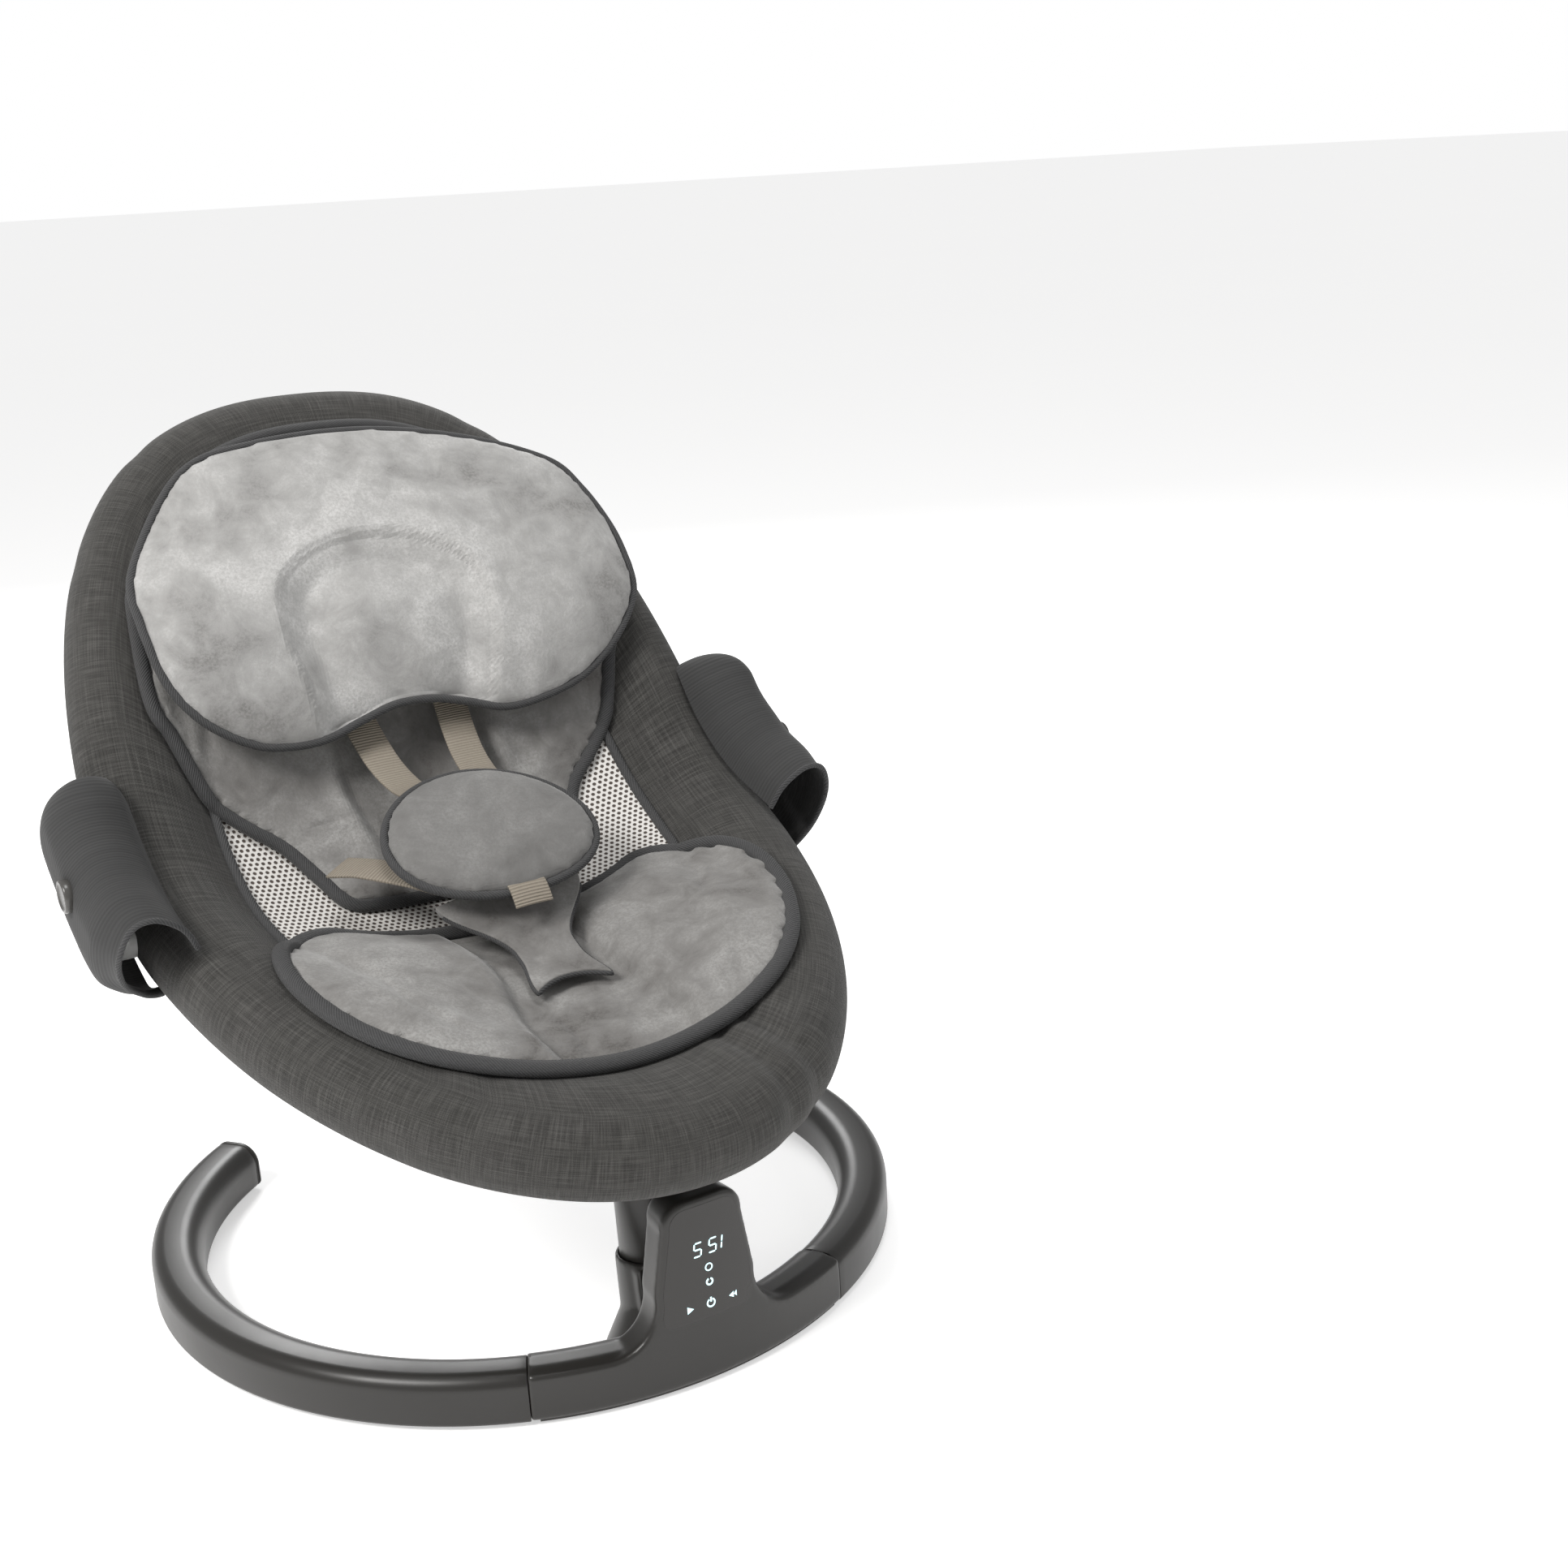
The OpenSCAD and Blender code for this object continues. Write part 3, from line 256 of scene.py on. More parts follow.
ribbedLooks = {
    "pipingCloth": dict(rib=0.0022, slant=1.0, streak=(700, 260, 1), dark=(0.022, 0.022, 0.023, 1),
                        light=(0.085, 0.085, 0.086, 1), ribTone=0.45, ribHeight=1.2, bump=0.6, sheen=0.1),
    "webbing": dict(rib=0.0021, slant=0.0, streak=(900, 300, 1), dark=(0.165, 0.142, 0.115, 1),
                    light=(0.34, 0.30, 0.245, 1), ribTone=0.5, ribHeight=1.6, bump=0.7, sheen=0.08),
    "pocketCloth": dict(rib=0.0034, slant=0.0, streak=(14, 420, 1), dark=(0.024, 0.024, 0.024, 1),
                        light=(0.066, 0.066, 0.066, 1), ribTone=0.25, ribHeight=0.5, bump=0.35, sheen=0.1),
}
for name, look in ribbedLooks.items():
    finish[name] = ribbedMaterial(name, look)


# White spacer mesh: a hexagonal lattice of holes on its cloth map
def meshMaterial():
    look = {"pitch": 0.0046, "hole": 0.27, "net": (0.74, 0.72, 0.69, 1), "deep": (0.085, 0.068, 0.058, 1)}
    material, tree, shader = newMaterial("spacerMesh", {"Roughness": 0.8, "Specular IOR Level": 0.3})
    spot = clothSpot(tree)
    near = []
    for shift in ((0, 0, 0), (0.5, 0.5, 0)):
        scale = (1 / look["pitch"], 1 / (look["pitch"] * math.sqrt(3)), 0)
        lattice = shaderNode(tree, "VectorMath", {0: spot, 1: scale, 2: shift}, operation="MULTIPLY_ADD")
        cell = shaderNode(tree, "VectorMath", {0: lattice.outputs[0]}, operation="FRACTION").outputs[0]
        centred = shaderNode(tree, "VectorMath", {0: cell, 1: (0.5, 0.5, 0)}, operation="SUBTRACT")
        away = scaledSpot(tree, centred.outputs[0], (1, math.sqrt(3), 0))
        near.append(shaderNode(tree, "VectorMath", {0: away}, operation="LENGTH").outputs["Value"])
    distance = calc(tree, "MINIMUM", near[0], near[1])
    net = spanned(tree, distance, look["hole"] - 0.05, look["hole"] + 0.06)
    tree.links.new(blended(tree, net, look["deep"], look["net"]), shader.inputs["Base Color"])
    bumped(tree, shader, net, 0.9, 0.0012)
    return material


finish["spacerMesh"] = meshMaterial()


def glowMaterial():
    material, tree, shader = newMaterial("iconGlow", {"Base Color": (0.5, 0.8, 0.85, 1), "Roughness": 0.4,
                                                      "Emission Strength": 1.1})
    cloud = noiseAt(tree, objectSpot(tree), 160.0)
    glow = blended(tree, cloud, (0.6, 0.93, 0.97, 1), (0.78, 0.97, 1.0, 1))
    tree.links.new(glow, shader.inputs["Emission Color"])
    return material


finish["iconGlow"] = glowMaterial()
print("materials made")

# The seat's bent sheet, in millimetres: x across, u along it, h above it

seatShape = {"halfWidth": 206, "frontLength": 339, "backLength": 351, "widestAt": -11.5,
             "frontPower": 2.0, "backPower": 2.5, "frontTilt": 18, "backTilt": 53,
             "bendHalf": 59, "bendY": 61, "bendZ": 279, "hingeU": -10, "hingeH": 33}
rimShape = {"top": 30, "bottom": 26, "out": 30, "share": 0.26, "hollow": 20, "sag": 16, "bindingShare": 0.745}
midTilt = math.radians((seatShape["frontTilt"] + seatShape["backTilt"]) / 2)
bendRate = math.radians(seatShape["backTilt"] - seatShape["frontTilt"]) / (2 * seatShape["bendHalf"])


def clamped(value, low, high):
    return max(low, min(high, value))


def pinned(points):
    return [Vector(p) for p in points]


def mirroredLine(rightHalf):  # the points, then those off the middle line again on the left
    return rightHalf + [Vector((-p.x, p.y)) for p in reversed(rightHalf) if abs(p.x) > 1]


def smoothStep(value):
    value = clamped(value, 0.0, 1.0)
    return value * value * (3 - 2 * value)


def sheetAngle(u):
    return midTilt + bendRate * clamped(u, -seatShape["bendHalf"], seatShape["bendHalf"])


def onSheet(x, u, h):
    angle = sheetAngle(u)
    beyond = u - clamped(u, -seatShape["bendHalf"], seatShape["bendHalf"])
    y = seatShape["bendY"] + (math.sin(angle) - math.sin(midTilt)) / bendRate + beyond * math.cos(angle)
    z = seatShape["bendZ"] - (math.cos(angle) - math.cos(midTilt)) / bendRate + beyond * math.sin(angle)
    return Vector((x, y - h * math.sin(angle), z + h * math.cos(angle))) / 1000


def fromSheet(point):  # the way back from metres, in rounds that each come closer
    u = point.y * 1000 - seatShape["bendY"]
    for closer in range(12):
        away = point - onSheet(point.x * 1000, u, 0)
        angle = sheetAngle(u)
        u += 900 * (away.y * math.cos(angle) + away.z * math.sin(angle))
    return point.x * 1000, u, 1000 * (away.z * math.cos(angle) - away.y * math.sin(angle))


def halfLength(u):
    return seatShape["backLength"] if u > seatShape["widestAt"] else seatShape["frontLength"]


def powerAt(u):
    return seatShape["backPower"] if u > seatShape["widestAt"] else seatShape["frontPower"]


def spreadAt(x, u):
    power = powerAt(u)
    across = (abs(x) / seatShape["halfWidth"]) ** power
    return (across + (abs(u - seatShape["widestAt"]) / halfLength(u)) ** power) ** (1 / power)


def baseHeight(x, u):
    spread = spreadAt(x, u)
    inner = 1 - rimShape["share"]
    if spread >= 1:
        return rimShape["top"]
    if spread >= inner:
        return rimShape["top"] * math.cos(math.pi / 2 * (1 - spread) / rimShape["share"])
    return -rimShape["hollow"] * (1 - (spread / inner) ** 2)


def outlineAt(degrees):
    c, s = math.cos(math.radians(degrees)), math.sin(math.radians(degrees))
    back = s > 0
    power = seatShape["backPower"] if back else seatShape["frontPower"]
    length = seatShape["backLength"] if back else -seatShape["frontLength"]
    return Vector((seatShape["halfWidth"] * math.copysign(abs(c) ** (2 / power), c),
                   seatShape["widestAt"] + length * abs(s) ** (2 / power)))


def outlineNormal(degrees):
    run = outlineAt(degrees + 0.5) - outlineAt(degrees - 0.5)
    return Vector((run.y, -run.x)).normalized()


def insideOutline(degrees, share):  # a point on the outline drawn in towards the seat's middle
    spot, mid = outlineAt(degrees), seatShape["widestAt"]
    return Vector((spot.x * share, mid + (spot.y - mid) * share))


# A new piece from a bmesh, with its material
def newPiece(name, bm, materialName):
    mesh = bpy.data.meshes.new(name)
    bm.to_mesh(mesh)
    bm.free()
    piece = bpy.data.objects.new(name, mesh)
    bpy.context.scene.collection.objects.link(piece)
    mesh.materials.append(finish[materialName])
    mesh.polygons.foreach_set("use_smooth", [True] * len(mesh.polygons))
    return piece


def settle(piece):  # the piece's mesh becomes what its modifiers make of it
    bpy.context.view_layer.update()
    shown = piece.evaluated_get(bpy.context.evaluated_depsgraph_get())
    mesh = bpy.data.meshes.new_from_object(shown)
    piece.modifiers.clear()
    piece.data = mesh
    return piece


def roundOff(piece):
    smoother = piece.modifiers.new("roundOff", "SUBSURF")
    smoother.levels = 1
    smoother.render_levels = 1


def giveWall(piece, thickness, offset=-1.0, edge=0.0, segments=2):
    wall = piece.modifiers.new("wall", "SOLIDIFY")
    wall.thickness = thickness
    wall.offset = offset
    if edge:
        rounder = piece.modifiers.new("edge", "BEVEL")
        rounder.width = edge
        rounder.segments = segments


# An outline in millimetres, standing across the front, drawn back into a plate
def extrudedOutline(outline, depth):
    bm = bmesh.new()
    face = bm.faces.new([bm.verts.new((p.x / 1000, 0, p.y / 1000)) for p in outline])
    made = bmesh.ops.extrude_face_region(bm, geom=[face])
    moved = [g for g in made["geom"] if isinstance(g, bmesh.types.BMVert)]
    bmesh.ops.translate(bm, verts=moved, vec=(0, depth / 1000, 0))
    return bm


def cutAcross(bm, reach, pitch, shift=0.0):  # upright cuts, so that a plate can bend
    for step in range(-reach, reach + 1):
        bmesh.ops.bisect_plane(bm, geom=bm.verts[:] + bm.edges[:] + bm.faces[:],
                               plane_co=(step * pitch + shift, 0, 0), plane_no=(1, 0, 0))


# A line of points in metres turned a full circle about an axis through the origin
def turnedLine(points, axis, steps):
    bm = bmesh.new()
    verts = [bm.verts.new(p) for p in points]
    edges = [bm.edges.new(pair) for pair in zip(verts, verts[1:])]
    bmesh.ops.spin(bm, geom=verts + edges, cent=(0, 0, 0), axis=axis, angle=2 * math.pi, steps=steps,
                   use_merge=True)
    bmesh.ops.remove_doubles(bm, verts=bm.verts, dist=1e-5)
    return bm


# A grid laid out by place(s, t), both from 0 to 1; edges that meet are welded
def laidGrid(across, along, place, clothSize=(1.0, 1.0), clothAt=None, inward=False):
    bm = bmesh.new()
    cloth = bm.loops.layers.uv.new("cloth")
    bmesh.ops.create_grid(bm, x_segments=across, y_segments=along, size=0.5, calc_uvs=True)
    for face in bm.faces:
        for loop in face.loops:
            s, t = loop.vert.co.x + 0.5, loop.vert.co.y + 0.5
            loop[cloth].uv = clothAt(s, t) if clothAt else (s * clothSize[0], t * clothSize[1])
    for vert in bm.verts:
        vert.co = place(vert.co.x + 0.5, vert.co.y + 0.5)
    bmesh.ops.remove_doubles(bm, verts=bm.verts, dist=1e-6)
    bmesh.ops.dissolve_degenerate(bm, edges=bm.edges, dist=1e-7)
    bmesh.ops.recalc_face_normals(bm, faces=bm.faces)
    if inward:
        bmesh.ops.reverse_faces(bm, faces=bm.faces)
    return bm


# A smooth closed or open line through points, at a share t of the way along
def lineThrough(points, closed=False):
    count = len(points)
    last = count if closed else count - 1

    def at(t):
        spot = (t % 1.0 if closed else clamped(t, 0.0, 1.0)) * last
        i = min(int(spot), last - 1)
        f = spot - i
        if closed:
            a, b, c, d = (points[(i + k) % count] for k in (-1, 0, 1, 2))
        else:
            a, b, c, d = (points[int(clamped(i + k, 0, count - 1))] for k in (-1, 0, 1, 2))
        square = (2 * a - 5 * b + 4 * c - d) * f * f
        cube = (3 * b - a - 3 * c + d) * f ** 3
        return 0.5 * ((2 * b) + (c - a) * f + square + cube)
    return at


# A tube of a radius in metres along a line in metres
def tubeAlong(line, steps, radius, sides=10, closed=True, flatten=1.0):
    spots = [line(i / steps) for i in range(steps + (0 if closed else 1))]
    count = len(spots)
    length = sum((spots[i] - spots[i - 1]).length for i in range(1, count))

    def place(s, t):
        i = round(t * steps)
        here = spots[i % count] if closed else spots[i]
        if closed:
            run = spots[(i + 1) % count] - spots[(i - 1) % count]
        else:
            run = spots[min(i + 1, count - 1)] - spots[max(i - 1, 0)]
        run.normalize()
        side = run.cross(Vector((0, -0.4, 0.9)))
        side.normalize()
        up = side.cross(run)
        turn = 2 * math.pi * s
        return here + radius * (math.cos(turn) * side + flatten * math.sin(turn) * up)
    return laidGrid(sides, steps, place, (2 * math.pi * radius, length))


# Floor ring: two arms and their end caps

ringShape = {"outer": 260, "width": 36, "height": 34, "foot": 2, "middleY": -18, "housingHalf": 26,
             "armEnd": 142, "armStep": 0.6, "capAngle": 1.2, "capGap": 0.12}


def ringProfile(inset, bottom):
    shape = ringShape
    xIn = shape["outer"] - shape["width"] + inset
    xOut = shape["outer"] - inset
    top = shape["foot"] + shape["height"] - inset
    corners = [(xOut - 3, bottom + 3, 3, -90, 0, 4), (xOut - 10, top - 10, 10, 0, 90, 8),
               (xIn + 15, top - 15, 15, 90, 180, 12), (xIn + 4, bottom + 4, 4, 180, 270, 4)]
    points = []
    for x, z, radius, start, end, steps in corners:
        for i in range(steps + 1):
            turn = math.radians(start + (end - start) * i / steps)
            points.append(Vector((x + radius * math.cos(turn), 0, z + radius * math.sin(turn))) / 1000)
    return points


def spunProfile(points, fromDegrees, sweep, steps, endBevel):
    bm = bmesh.new()
    verts = [bm.verts.new(p) for p in points]
    edges = [bm.edges.new((verts[i - 1], verts[i])) for i in range(len(verts))]
    start = Matrix.Rotation(math.radians(fromDegrees - 90), 3, "Z")
    bmesh.ops.rotate(bm, verts=verts, cent=(0, 0, 0), matrix=start)
    bmesh.ops.spin(bm, geom=verts + edges, cent=(0, 0, 0), axis=(0, 0, 1), angle=math.radians(sweep),
                   steps=steps)
    ends = [edge for edge in bm.edges if edge.is_boundary]
    bmesh.ops.holes_fill(bm, edges=ends, sides=0)
    bmesh.ops.recalc_face_normals(bm, faces=bm.faces)
    if endBevel:
        rims = [edge for edge in bm.edges if any(len(face.verts) > 4 for face in edge.link_faces)]
        bmesh.ops.bevel(bm, geom=rims, offset=endBevel, offset_type="OFFSET", affect="EDGES", segments=3,
                        profile=0.5, material=-1)
    bmesh.ops.translate(bm, verts=bm.verts, vec=(0, ringShape["middleY"] / 1000, 0))
    return bm


armProfile = ringProfile(ringShape["armStep"], ringShape["foot"] + ringShape["armStep"])
armSweep = ringShape["armEnd"] - ringShape["housingHalf"] - ringShape["capGap"]
for side, word in ((-1, "left"), (1, "right")):
    bm = spunProfile(armProfile, side * ringShape["housingHalf"], side * armSweep, 72, 0.0005)
    arm = newPiece(word + "RingArm", bm, "satinCharcoal")
    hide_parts(word + "_base_arm")
    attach(arm, "base")
    bm = spunProfile(armProfile, side * ringShape["armEnd"], side * ringShape["capAngle"], 3, 0.0016)
    cap = newPiece(word + "RingCap", bm, "capPlastic")
    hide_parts(word + "_end_cap")
    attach(cap, "base")
print("ring arms made")

# Housing with its tower and collar

towerShape = {"top": 128, "topWidth": 58, "cornerRadius": 16, "sideSlope": 8, "flare": 30, "depth": 26,
              "edge": 3.2, "voxel": 0.0015}
pivotShape = {"y": -225, "lean": 6, "collarRadius": 28.8, "collarIn": 26.8, "collarLow": 5.5,
              "collarTop": 69, "deck": 56}


def arcPoints(x, z, radius, start, end, steps):
    turns = [math.radians(start + (end - start) * i / steps) for i in range(steps + 1)]
    return [Vector((x + radius * math.cos(turn), z + radius * math.sin(turn))) for turn in turns]


def towerLine(inset=0.0):
    shape = towerShape
    ringTop = ringShape["foot"] + ringShape["height"] - 1.5
    sideX = shape["topWidth"] / 2 - inset
    slope = math.tan(math.radians(shape["sideSlope"]))
    footX = sideX + (shape["top"] - shape["cornerRadius"] - ringTop - shape["flare"]) * slope
    flare = arcPoints(footX + shape["flare"] + inset, ringTop + shape["flare"], shape["flare"] + inset,
                      270, 180 - shape["sideSlope"], 12)
    corner = arcPoints(sideX - shape["cornerRadius"] + inset, shape["top"] - shape["cornerRadius"],
                       shape["cornerRadius"] - inset, -shape["sideSlope"], 90, 10)
    return flare + corner


def bentRound(point, radius):  # x runs round the ring's front, y is depth behind its face
    turn = point.x / radius
    reach = radius - point.y
    return Vector((reach * math.sin(turn), ringShape["middleY"] / 1000 - reach * math.cos(turn), point.z))


# The pivot's own frame: its z runs up the leaning axle
pivotStand = (Matrix.Translation((0, pivotShape["y"] / 1000, 0))
              @ Matrix.Rotation(-math.radians(pivotShape["lean"]), 4, "X"))


def onPivot(y, z):
    return pivotStand @ Matrix.Translation((0, y, z))


def towerAndRing():
    halfRun = math.radians(ringShape["housingHalf"]) * ringShape["outer"]
    right = towerLine()
    outline = [Vector((halfRun, 3.4)), Vector((halfRun, right[0].y))] + right
    bm = extrudedOutline(mirroredLine(outline), towerShape["depth"])
    rims = [e for e in bm.edges if abs(e.verts[0].co.y - e.verts[1].co.y) < 1e-6]
    bmesh.ops.bevel(bm, geom=rims, offset=towerShape["edge"] / 1000, offset_type="OFFSET", affect="EDGES",
                    segments=4, profile=0.5, material=-1)
    cutAcross(bm, 14, 0.008)
    for vert in bm.verts:
        vert.co = bentRound(vert.co, ringShape["outer"] / 1000)
    bmesh.ops.recalc_face_normals(bm, faces=bm.faces)
    ring = spunProfile(ringProfile(0, 3.2), -ringShape["housingHalf"], 2 * ringShape["housingHalf"], 40, 0)
    scratch = bpy.data.meshes.new("ringPart")
    ring.to_mesh(scratch)
    ring.free()
    bm.from_mesh(scratch)
    bpy.data.meshes.remove(scratch)
    return bm


def makeHousing():
    bm = towerAndRing()
    radius = pivotShape["collarRadius"] / 1000
    low, high = pivotShape["collarLow"] / 1000, pivotShape["collarTop"] / 1000
    middle = (low + high) / 2
    bmesh.ops.create_cone(bm, cap_ends=True, segments=64, radius1=radius + 0.0012, radius2=radius,
                          depth=high - low, matrix=onPivot(0, middle))
    web = Matrix.Diagonal((2 * radius - 0.004, 0.020, high - low - 0.004, 1))
    bmesh.ops.create_cube(bm, size=1.0, matrix=onPivot(-0.009, middle - 0.001) @ web)
    bmesh.ops.create_cone(bm, cap_ends=True, segments=64, radius1=radius + 0.016, radius2=radius - 0.002,
                          depth=0.034, matrix=onPivot(-0.004, low + 0.019))
    housing = newPiece("frontHousing", bm, "satinCharcoal")
    voxels = housing.modifiers.new("voxels", "REMESH")
    voxels.mode = "VOXEL"
    voxels.voxel_size = towerShape["voxel"]
    softer = housing.modifiers.new("softer", "SMOOTH")
    softer.iterations = 7
    softer.factor = 0.5
    settle(housing)
    bm = bmesh.new()
    inner = pivotShape["collarIn"] / 1000
    bmesh.ops.create_cone(bm, cap_ends=True, segments=96, radius1=inner, radius2=inner, depth=0.04,
                          matrix=onPivot(0, pivotShape["deck"] / 1000 + 0.02))
    well = newPiece("postWell", bm, "satinCharcoal")
    cut = housing.modifiers.new("cut", "BOOLEAN")
    cut.operation = "DIFFERENCE"
    cut.object = well
    cut.solver = "EXACT"
    settle(housing)
    bpy.data.objects.remove(well)
    bm = bmesh.new()
    bm.from_mesh(housing.data)
    bmesh.ops.recalc_face_normals(bm, faces=bm.faces)
    bm.to_mesh(housing.data)
    bm.free()
    housing.data.polygons.foreach_set("use_smooth", [True] * len(housing.data.polygons))
    return housing


housing = makeHousing()
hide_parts("front_housing")
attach(housing, "base")
print("housing made", len(housing.data.polygons))

# Touch panel and its lit signs

panelShape = {"inset": 5, "bottom": 46, "halfWidth": 33, "thick": 0.6, "proud": 0.12, "signProud": 0.3,
              "signThick": 0.2}


def bendOntoTower(bm, proud):  # lays flat work round the housing's face, this many millimetres proud
    for vert in bm.verts:
        vert.co = bentRound(vert.co + Vector((0, -proud / 1000, 0)), ringShape["outer"] / 1000)
    bmesh.ops.recalc_face_normals(bm, faces=bm.faces)


lensLow = panelShape["bottom"]
lensRight = [p for p in towerLine(panelShape["inset"]) if p.y > lensLow + 4 and p.x < panelShape["halfWidth"]]
lensFoot = [Vector((lensRight[0].x - 6, lensLow)), Vector((lensRight[0].x - 1, lensLow + 2))]
bm = extrudedOutline(mirroredLine(lensFoot + lensRight), panelShape["thick"])
cutAcross(bm, 12, 0.005, 0.0003)
bendOntoTower(bm, panelShape["proud"])
lens = newPiece("touchPanel", bm, "touchLens")
lens.data.polygons.foreach_set("use_smooth", [False] * len(lens.data.polygons))
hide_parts("control_panel")
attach(lens, "base")

# Lit digits on the usual bars, and plain signs under them
digitShape = {"height": 9.0, "width": 5.2, "stroke": 1.0, "lean": 0.14}
digitBars = {"top": ((0.5, 1), "across"), "upperLeft": ((0, 0.75), "up"), "middle": ((0.5, 0.5), "across"),
             "lowerRight": ((1, 0.25), "up"), "bottom": ((0.5, 0), "across"), "upperRight": ((1, 0.75), "up")}
digits = [(-6, 94, ("top", "upperLeft", "middle", "lowerRight", "bottom")),
          (4.6, 94, ("top", "upperLeft", "middle", "lowerRight", "bottom")),
          (8.6, 94, ("upperRight", "lowerRight"))]
plainSigns = [((-15.8, 53.0), (-11.4, 55.4), (-15.8, 57.8)), ((17.2, 53.4), (17.2, 57.4), (13.8, 55.4)),
              ((19.6, 53.4), (19.6, 57.4), (17.5, 55.4)),
              ((0.2, 56.4), (1.3, 56.4), (1.3, 59.6), (0.2, 59.6))]
roundSigns = ((0.9, 80.2, 2.7, 1.9, 0), (0.8, 70.2, 2.6, 1.5, 40), (0.8, 55.6, 3.1, 2.1, 50))


def digitBar(x, z, part):
    (shareX, shareZ), way = digitBars[part]
    cx = x + (shareX - 0.5) * digitShape["width"]
    cz = z + (shareZ - 0.5) * digitShape["height"]
    w, h = digitShape["stroke"] / 2, digitShape["height"] * 0.21
    if way == "across":
        w, h = digitShape["width"] * 0.42, digitShape["stroke"] / 2
    corners = [(-w, -h * 0.4), (-w * 0.8, -h), (w * 0.8, -h), (w, -h * 0.4), (w, h * 0.4), (w * 0.8, h),
               (-w * 0.8, h), (-w, h * 0.4)]
    return [Vector((cx + a + digitShape["lean"] * (cz + b - z), cz + b)) for a, b in corners]


signOutlines = [digitBar(x, z, part) for x, z, lit in digits for part in lit]
signOutlines += [pinned(corners) for corners in plainSigns]
bm = bmesh.new()
for outline in signOutlines:
    bm.faces.new([bm.verts.new((p.x / 1000, 0, p.y / 1000)) for p in outline])
for x, z, outer, inner, gap in roundSigns:
    start, turn = math.radians(90 + gap / 2), math.radians(360 - gap)
    ends = [bm.verts.new(((x + r * math.cos(start)) / 1000, 0, (z + r * math.sin(start)) / 1000))
            for r in (inner, outer)]
    edge = bm.edges.new(ends)
    bmesh.ops.spin(bm, geom=ends + [edge], cent=(x / 1000, 0, z / 1000), axis=(0, -1, 0), angle=turn,
                   steps=28, use_merge=gap == 0)
bendOntoTower(bm, panelShape["signProud"])
signs = newPiece("litSigns", bm, "iconGlow")
giveWall(signs, panelShape["signThick"] / 1000)
settle(signs)
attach(signs, "base")
print("panel made")

# Post and fork

postShape = {"low": 58.5, "lowRadius": 26, "topRadius": 24, "high": 138}


def makePost():
    low, wide, narrow, high = (postShape[key] for key in ("low", "lowRadius", "topRadius", "high"))
    line = [(0, low), (wide - 1.5, low), (wide, low + 1.5), (narrow + 0.6, 118), (narrow, 128),
            (narrow + 1.5, 132), (narrow + 1.5, 135), (narrow - 2, high), (0, high)]
    bm = turnedLine([(r / 1000, 0, z / 1000) for r, z in line], (0, 0, 1), 72)
    bmesh.ops.recalc_face_normals(bm, faces=bm.faces)
    bmesh.ops.transform(bm, matrix=pivotStand, verts=bm.verts)
    return newPiece("swingPost", bm, "satinCharcoal")


post = makePost()
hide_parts("swing_post")
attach(post, "seat")

forkShape = {"radius": 9, "rootAlong": 145.6, "rootX": 12, "tipX": 200, "tipU": -34,
             "first": (50, 150, 0), "last": (-8, 45, -100), "capRadius": 19, "capHigh": 14, "capAlong": 143}


def makeFork():  # one tube on a curve with four guides, mirrored, and a cap on the post
    shape = forkShape
    lean = math.radians(pivotShape["lean"])
    root = Vector((shape["rootX"], pivotShape["y"] + shape["rootAlong"] * math.sin(lean),
                   shape["rootAlong"] * math.cos(lean))) / 1000
    tip = onSheet(shape["tipX"], shape["tipU"], 0)
    guides = [root, root + Vector(shape["first"]) / 1000, tip + Vector(shape["last"]) / 1000, tip]

    def path(t):
        a, b, c, d = guides
        return (1 - t) ** 3 * a + 3 * (1 - t) ** 2 * t * b + 3 * (1 - t) * t * t * c + t ** 3 * d
    bm = tubeAlong(path, 40, shape["radius"] / 1000, 24, closed=False)
    made = bmesh.ops.duplicate(bm, geom=bm.verts[:] + bm.edges[:] + bm.faces[:])
    twin = [g for g in made["geom"] if isinstance(g, bmesh.types.BMVert)]
    bmesh.ops.scale(bm, vec=(-1, 1, 1), verts=twin)
    bmesh.ops.holes_fill(bm, edges=[e for e in bm.edges if e.is_boundary], sides=0)
    capRadius = shape["capRadius"] / 1000
    bmesh.ops.create_cone(bm, cap_ends=True, segments=64, radius1=capRadius, radius2=capRadius,
                          depth=shape["capHigh"] / 1000, matrix=onPivot(0, shape["capAlong"] / 1000))
    bmesh.ops.recalc_face_normals(bm, faces=bm.faces)
    return newPiece("supportFork", bm, "satinCharcoal")


fork = makeFork()
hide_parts("support_fork")
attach(fork, "seat")
print("post and fork made")

# Padded rim: one sleeve round the whole seat

rimCloth = {"around": 240, "section": 44, "clothLength": 1.86, "clothGirth": 0.30,
            "pleats": ((-73, 4.6), (-66, 4.0), (-122, 1.8), (-131, 1.5), (62, 0.9), (118, 1.2), (140, 0.9)),
            "pleatWidth": 2.0, "ripple": 0.02}


